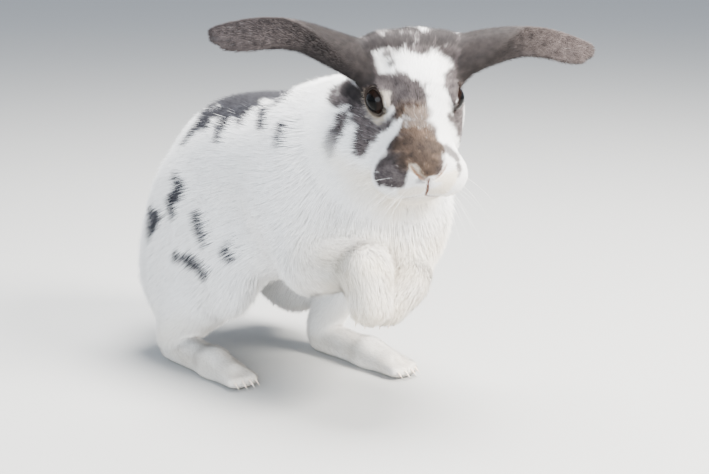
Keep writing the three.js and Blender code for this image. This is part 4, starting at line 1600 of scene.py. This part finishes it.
def horn_material():
    material, n, shader = new_material("claw horn")
    place = n.add("ShaderNodeTexCoord").outputs["Object"]
    noise = n.add("ShaderNodeTexNoise", {"Vector": place, "Scale": 160.0, "Detail": 4.0})
    n.put(shader.inputs["Base Color"], n.mix(noise.outputs["Fac"], rgb(186, 166, 148), rgb(230, 218, 202)))
    n.put(shader.inputs["Roughness"], n.math("MULTIPLY_ADD", noise.outputs["Fac"], 0.2, 0.3))
    shader.inputs["Subsurface Weight"].default_value = 0.15
    shader.inputs["Subsurface Scale"].default_value = 0.002
    return material


def whisker_material():
    material, n, shader = new_material("whisker")
    place = n.add("ShaderNodeTexCoord").outputs["Object"]
    noise = n.add("ShaderNodeTexNoise", {"Vector": place, "Scale": 60.0})
    n.put(shader.inputs["Base Color"], n.mix(noise.outputs["Fac"], rgb(226, 222, 214), rgb(252, 251, 248)))
    shader.inputs["Roughness"].default_value = 0.35
    return material


coat_colour = coat_colour_group()
fur_grain = fur_grain_group()
coat_material = tuft_material("coat", 0.62, 0.01)
ear_coat_material = tuft_material("ear coat", 0.6, 0.01)


# ---------------------------------------------------------------- skin and coat in place

hide = Skin()
skin_mesh = mesh_of("skin", hide.points, hide.triangles)
add_vectors(skin_mesh, "marking_and_shade", hide.marking_and_shade)
add_vectors(skin_mesh, "lie", hide.lie)
head_place = to_local(HEAD, hide.points)
rims = 1 - ramp(np.minimum(lid_rings[LEFT](head_place), lid_rings[RIGHT](head_place)), 0.3, 1.3)
# painted shade in the nostrils, the mouth line and the split lip
dark = np.maximum.reduce([
    0.4 - 0.4 * ramp(nostrils(head_place), 0.2, 0.7),
    0.9 - 0.9 * ramp(mouth_line(head_place), 0.45, 1.2),
    0.9 - 0.9 * ramp(lip_split(head_place), 0.3, 0.8),
])
add_vectors(skin_mesh, "bare", np.column_stack([hide.bare, dark, rims]))
skin = linked("skin", skin_mesh, skin_material())
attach(skin, "root")
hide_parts(*PART_NAMES)

for number, (name, chosen, count, slim, stray, lift, shag) in enumerate(coat_plan(hide)):
    material = ear_coat_material if name == "coat_ears" else coat_material
    tufts = grow(hide, name, chosen, count, slim, 100 + number, stray, lift, shag)
    grown = coat_piece(tufts, material)

# ---------------------------------------------------------------- eyes


def eyeball(side_name):
    """A smooth globe with its poles on the line of sight."""
    side = SIDES[side_name]
    gaze = np.array(HEAD[0] @ mirrored(EYE_OUT, side))
    bm = bmesh.new()
    bmesh.ops.create_uvsphere(bm, u_segments=64, v_segments=40, radius=EYE_RADIUS)
    mesh = bpy.data.meshes.new("eyeball_" + side_name)
    bm.to_mesh(mesh)
    bm.free()
    points = np.array([v.co for v in mesh.vertices])
    ahead = points[:, 2] / EYE_RADIUS
    turn = np.array(Vector((0, 0, 1)).rotation_difference(Vector(gaze)).to_matrix())
    centre = to_world(HEAD, mirrored(EYE_AT, side))
    placed = packed(points @ turn.T + centre)
    mesh.vertices.foreach_set("co", placed.astype(np.float32).ravel())
    mesh.update()
    mesh.shade_smooth()
    add_vectors(mesh, "gaze", np.column_stack([ahead, ahead, ahead]))
    globe = linked("eyeball_" + side_name, mesh, eye_surface)
    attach(globe, "root")
    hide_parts("eye_" + side_name)


eye_surface = eye_material()
for side_name in SIDES:
    eyeball(side_name)

horn = horn_material()
for name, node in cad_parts.items():
    if name.startswith("claw_"):
        node.data.materials.clear()
        node.data.materials.append(horn)
        node.data.shade_smooth()

# ---------------------------------------------------------------- whiskers

WHISKER_SIDES, WHISKER_STEPS = 5, 14
WHISKER_THICK = 0.17


def whisker(root, way, length, droop, rng):
    """A tapering hair that leaves the pad along way and sinks under its own weight."""
    t = np.linspace(0, 1, WHISKER_STEPS + 1)[:, None]
    sag = np.array([0, 0, -1.0]) @ HEAD[0]
    bow = np.array(direction(*rng.normal(0, 1, 3)))
    line = np.array(root) + length * (t * way + droop * t**2 * sag + 0.06 * t * (1 - t) * bow)
    along = unit(np.gradient(line, axis=0))
    across = unit(np.cross(along, (0.3, 0.1, 1.0)))
    up = np.cross(along, across)
    radius = WHISKER_THICK / 2 * (1 - 0.86 * t**1.4)
    turn = np.linspace(0, 2 * math.pi, WHISKER_SIDES, endpoint=False)
    ring = np.cos(turn)[None, :, None] * across[:, None] + np.sin(turn)[None, :, None] * up[:, None]
    points = (line[:, None] + ring * radius[:, None]).reshape(-1, 3)
    faces = []
    for i in range(WHISKER_STEPS):
        for j in range(WHISKER_SIDES):
            k = (j + 1) % WHISKER_SIDES
            a, b = i * WHISKER_SIDES, (i + 1) * WHISKER_SIDES
            faces += [(a + j, a + k, b + k), (a + j, b + k, b + j)]
    for j in range(1, WHISKER_SIDES - 1):
        faces.append((0, j + 1, j))
        last = WHISKER_STEPS * WHISKER_SIDES
        faces.append((last, last + j, last + j + 1))
    return points, np.array(faces)


def whiskers():
    rng = np.random.default_rng(61)
    all_points, all_faces, total = [], [], 0
    for side in (LEFT, RIGHT):
        for row in range(4):
            for place in range(3):
                root = np.array([14 + 3.0 * place, -63 + 4.2 * place, -18 - 2.4 * row + 1.2 * place])
                root = settle(to_world(HEAD, mirrored(root, side))[None], plain_skin, rounds=3, limit=6)
                root = to_local(HEAD, root)[0]
                way = direction(0.74 + 0.14 * place, -0.34 + 0.3 * place, -0.62 - 0.28 * row)
                way = unit((way * (side, 1, 1) + rng.normal(0, 0.09, 3))[None])[0]
                length = rng.uniform(32, 46) - 2 * row
                points, faces = whisker(root, way, length, rng.uniform(0.15, 0.35), rng)
                all_points.append(to_world(HEAD, points))
                all_faces.append(faces + total)
                total += len(points)
    mesh = mesh_of("whiskers", np.concatenate(all_points), np.concatenate(all_faces))
    piece = linked("whiskers", mesh, whisker_material())
    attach(piece, "root")


whiskers()


# ---------------------------------------------------------------- floor, light and camera


def aim(thing, target):
    thing.rotation_mode = "QUATERNION"
    thing.rotation_quaternion = (Vector(target) - thing.location).to_track_quat("-Z", "Y")


def soft_light(name, place, target, size, watts, colour):
    lamp = bpy.data.lights.new(name, "AREA")
    lamp.shape = "DISK"
    lamp.size = size
    lamp.energy = watts
    lamp.color = colour
    thing = bpy.data.objects.new(name, lamp)
    bpy.context.scene.collection.objects.link(thing)
    thing.location = place
    aim(thing, target)


def plain_floor():
    mesh = bpy.data.meshes.new("floor")
    mesh.from_pydata([(-6, -6, 0), (6, -6, 0), (6, 6, 0), (-6, 6, 0)], [], [(0, 1, 2, 3)])
    floor = bpy.data.objects.new("floor", mesh)
    bpy.context.scene.collection.objects.link(floor)
    material = bpy.data.materials.new("pale floor")
    material.use_nodes = True
    shader = material.node_tree.nodes["Principled BSDF"]
    shader.inputs["Base Color"].default_value = (0.34, 0.336, 0.325, 1)
    shader.inputs["Roughness"].default_value = 0.9
    mesh.materials.append(material)
    return floor


plain_floor()

world = bpy.data.worlds.new("soft room")
bpy.context.scene.world = world
world.use_nodes = True
world.node_tree.nodes["Background"].inputs["Color"].default_value = (0.74, 0.83, 0.97, 1)
world.node_tree.nodes["Background"].inputs["Strength"].default_value = 1.25

chest = (0, -0.02, 0.15)
soft_light("overhead", (0.25, 0.0, 1.6), chest, 1.0, 140, (1.0, 0.99, 0.97))
soft_light("key", (0.5, -1.4, 1.2), chest, 0.7, 180, (1.0, 0.96, 0.89))
soft_light("fill", (-1.3, -0.9, 0.5), chest, 1.2, 48, (0.82, 0.91, 1.0))
soft_light("low fill", (0.5, -1.3, 0.16), (0, 0.02, 0.06), 0.5, 22, (1.0, 0.98, 0.95))

CAMERA_AT = (-705, -975, 375)
CAMERA_AIM = (-36.5, -122, 136)
camera_data = bpy.data.cameras.new("camera")
camera_data.sensor_width = 36
camera_data.lens = 78.2
camera = bpy.data.objects.new("camera", camera_data)
bpy.context.scene.collection.objects.link(camera)
camera.location = packed(np.array(CAMERA_AT, float))
aim(camera, packed(np.array(CAMERA_AIM, float)))
bpy.context.scene.camera = camera
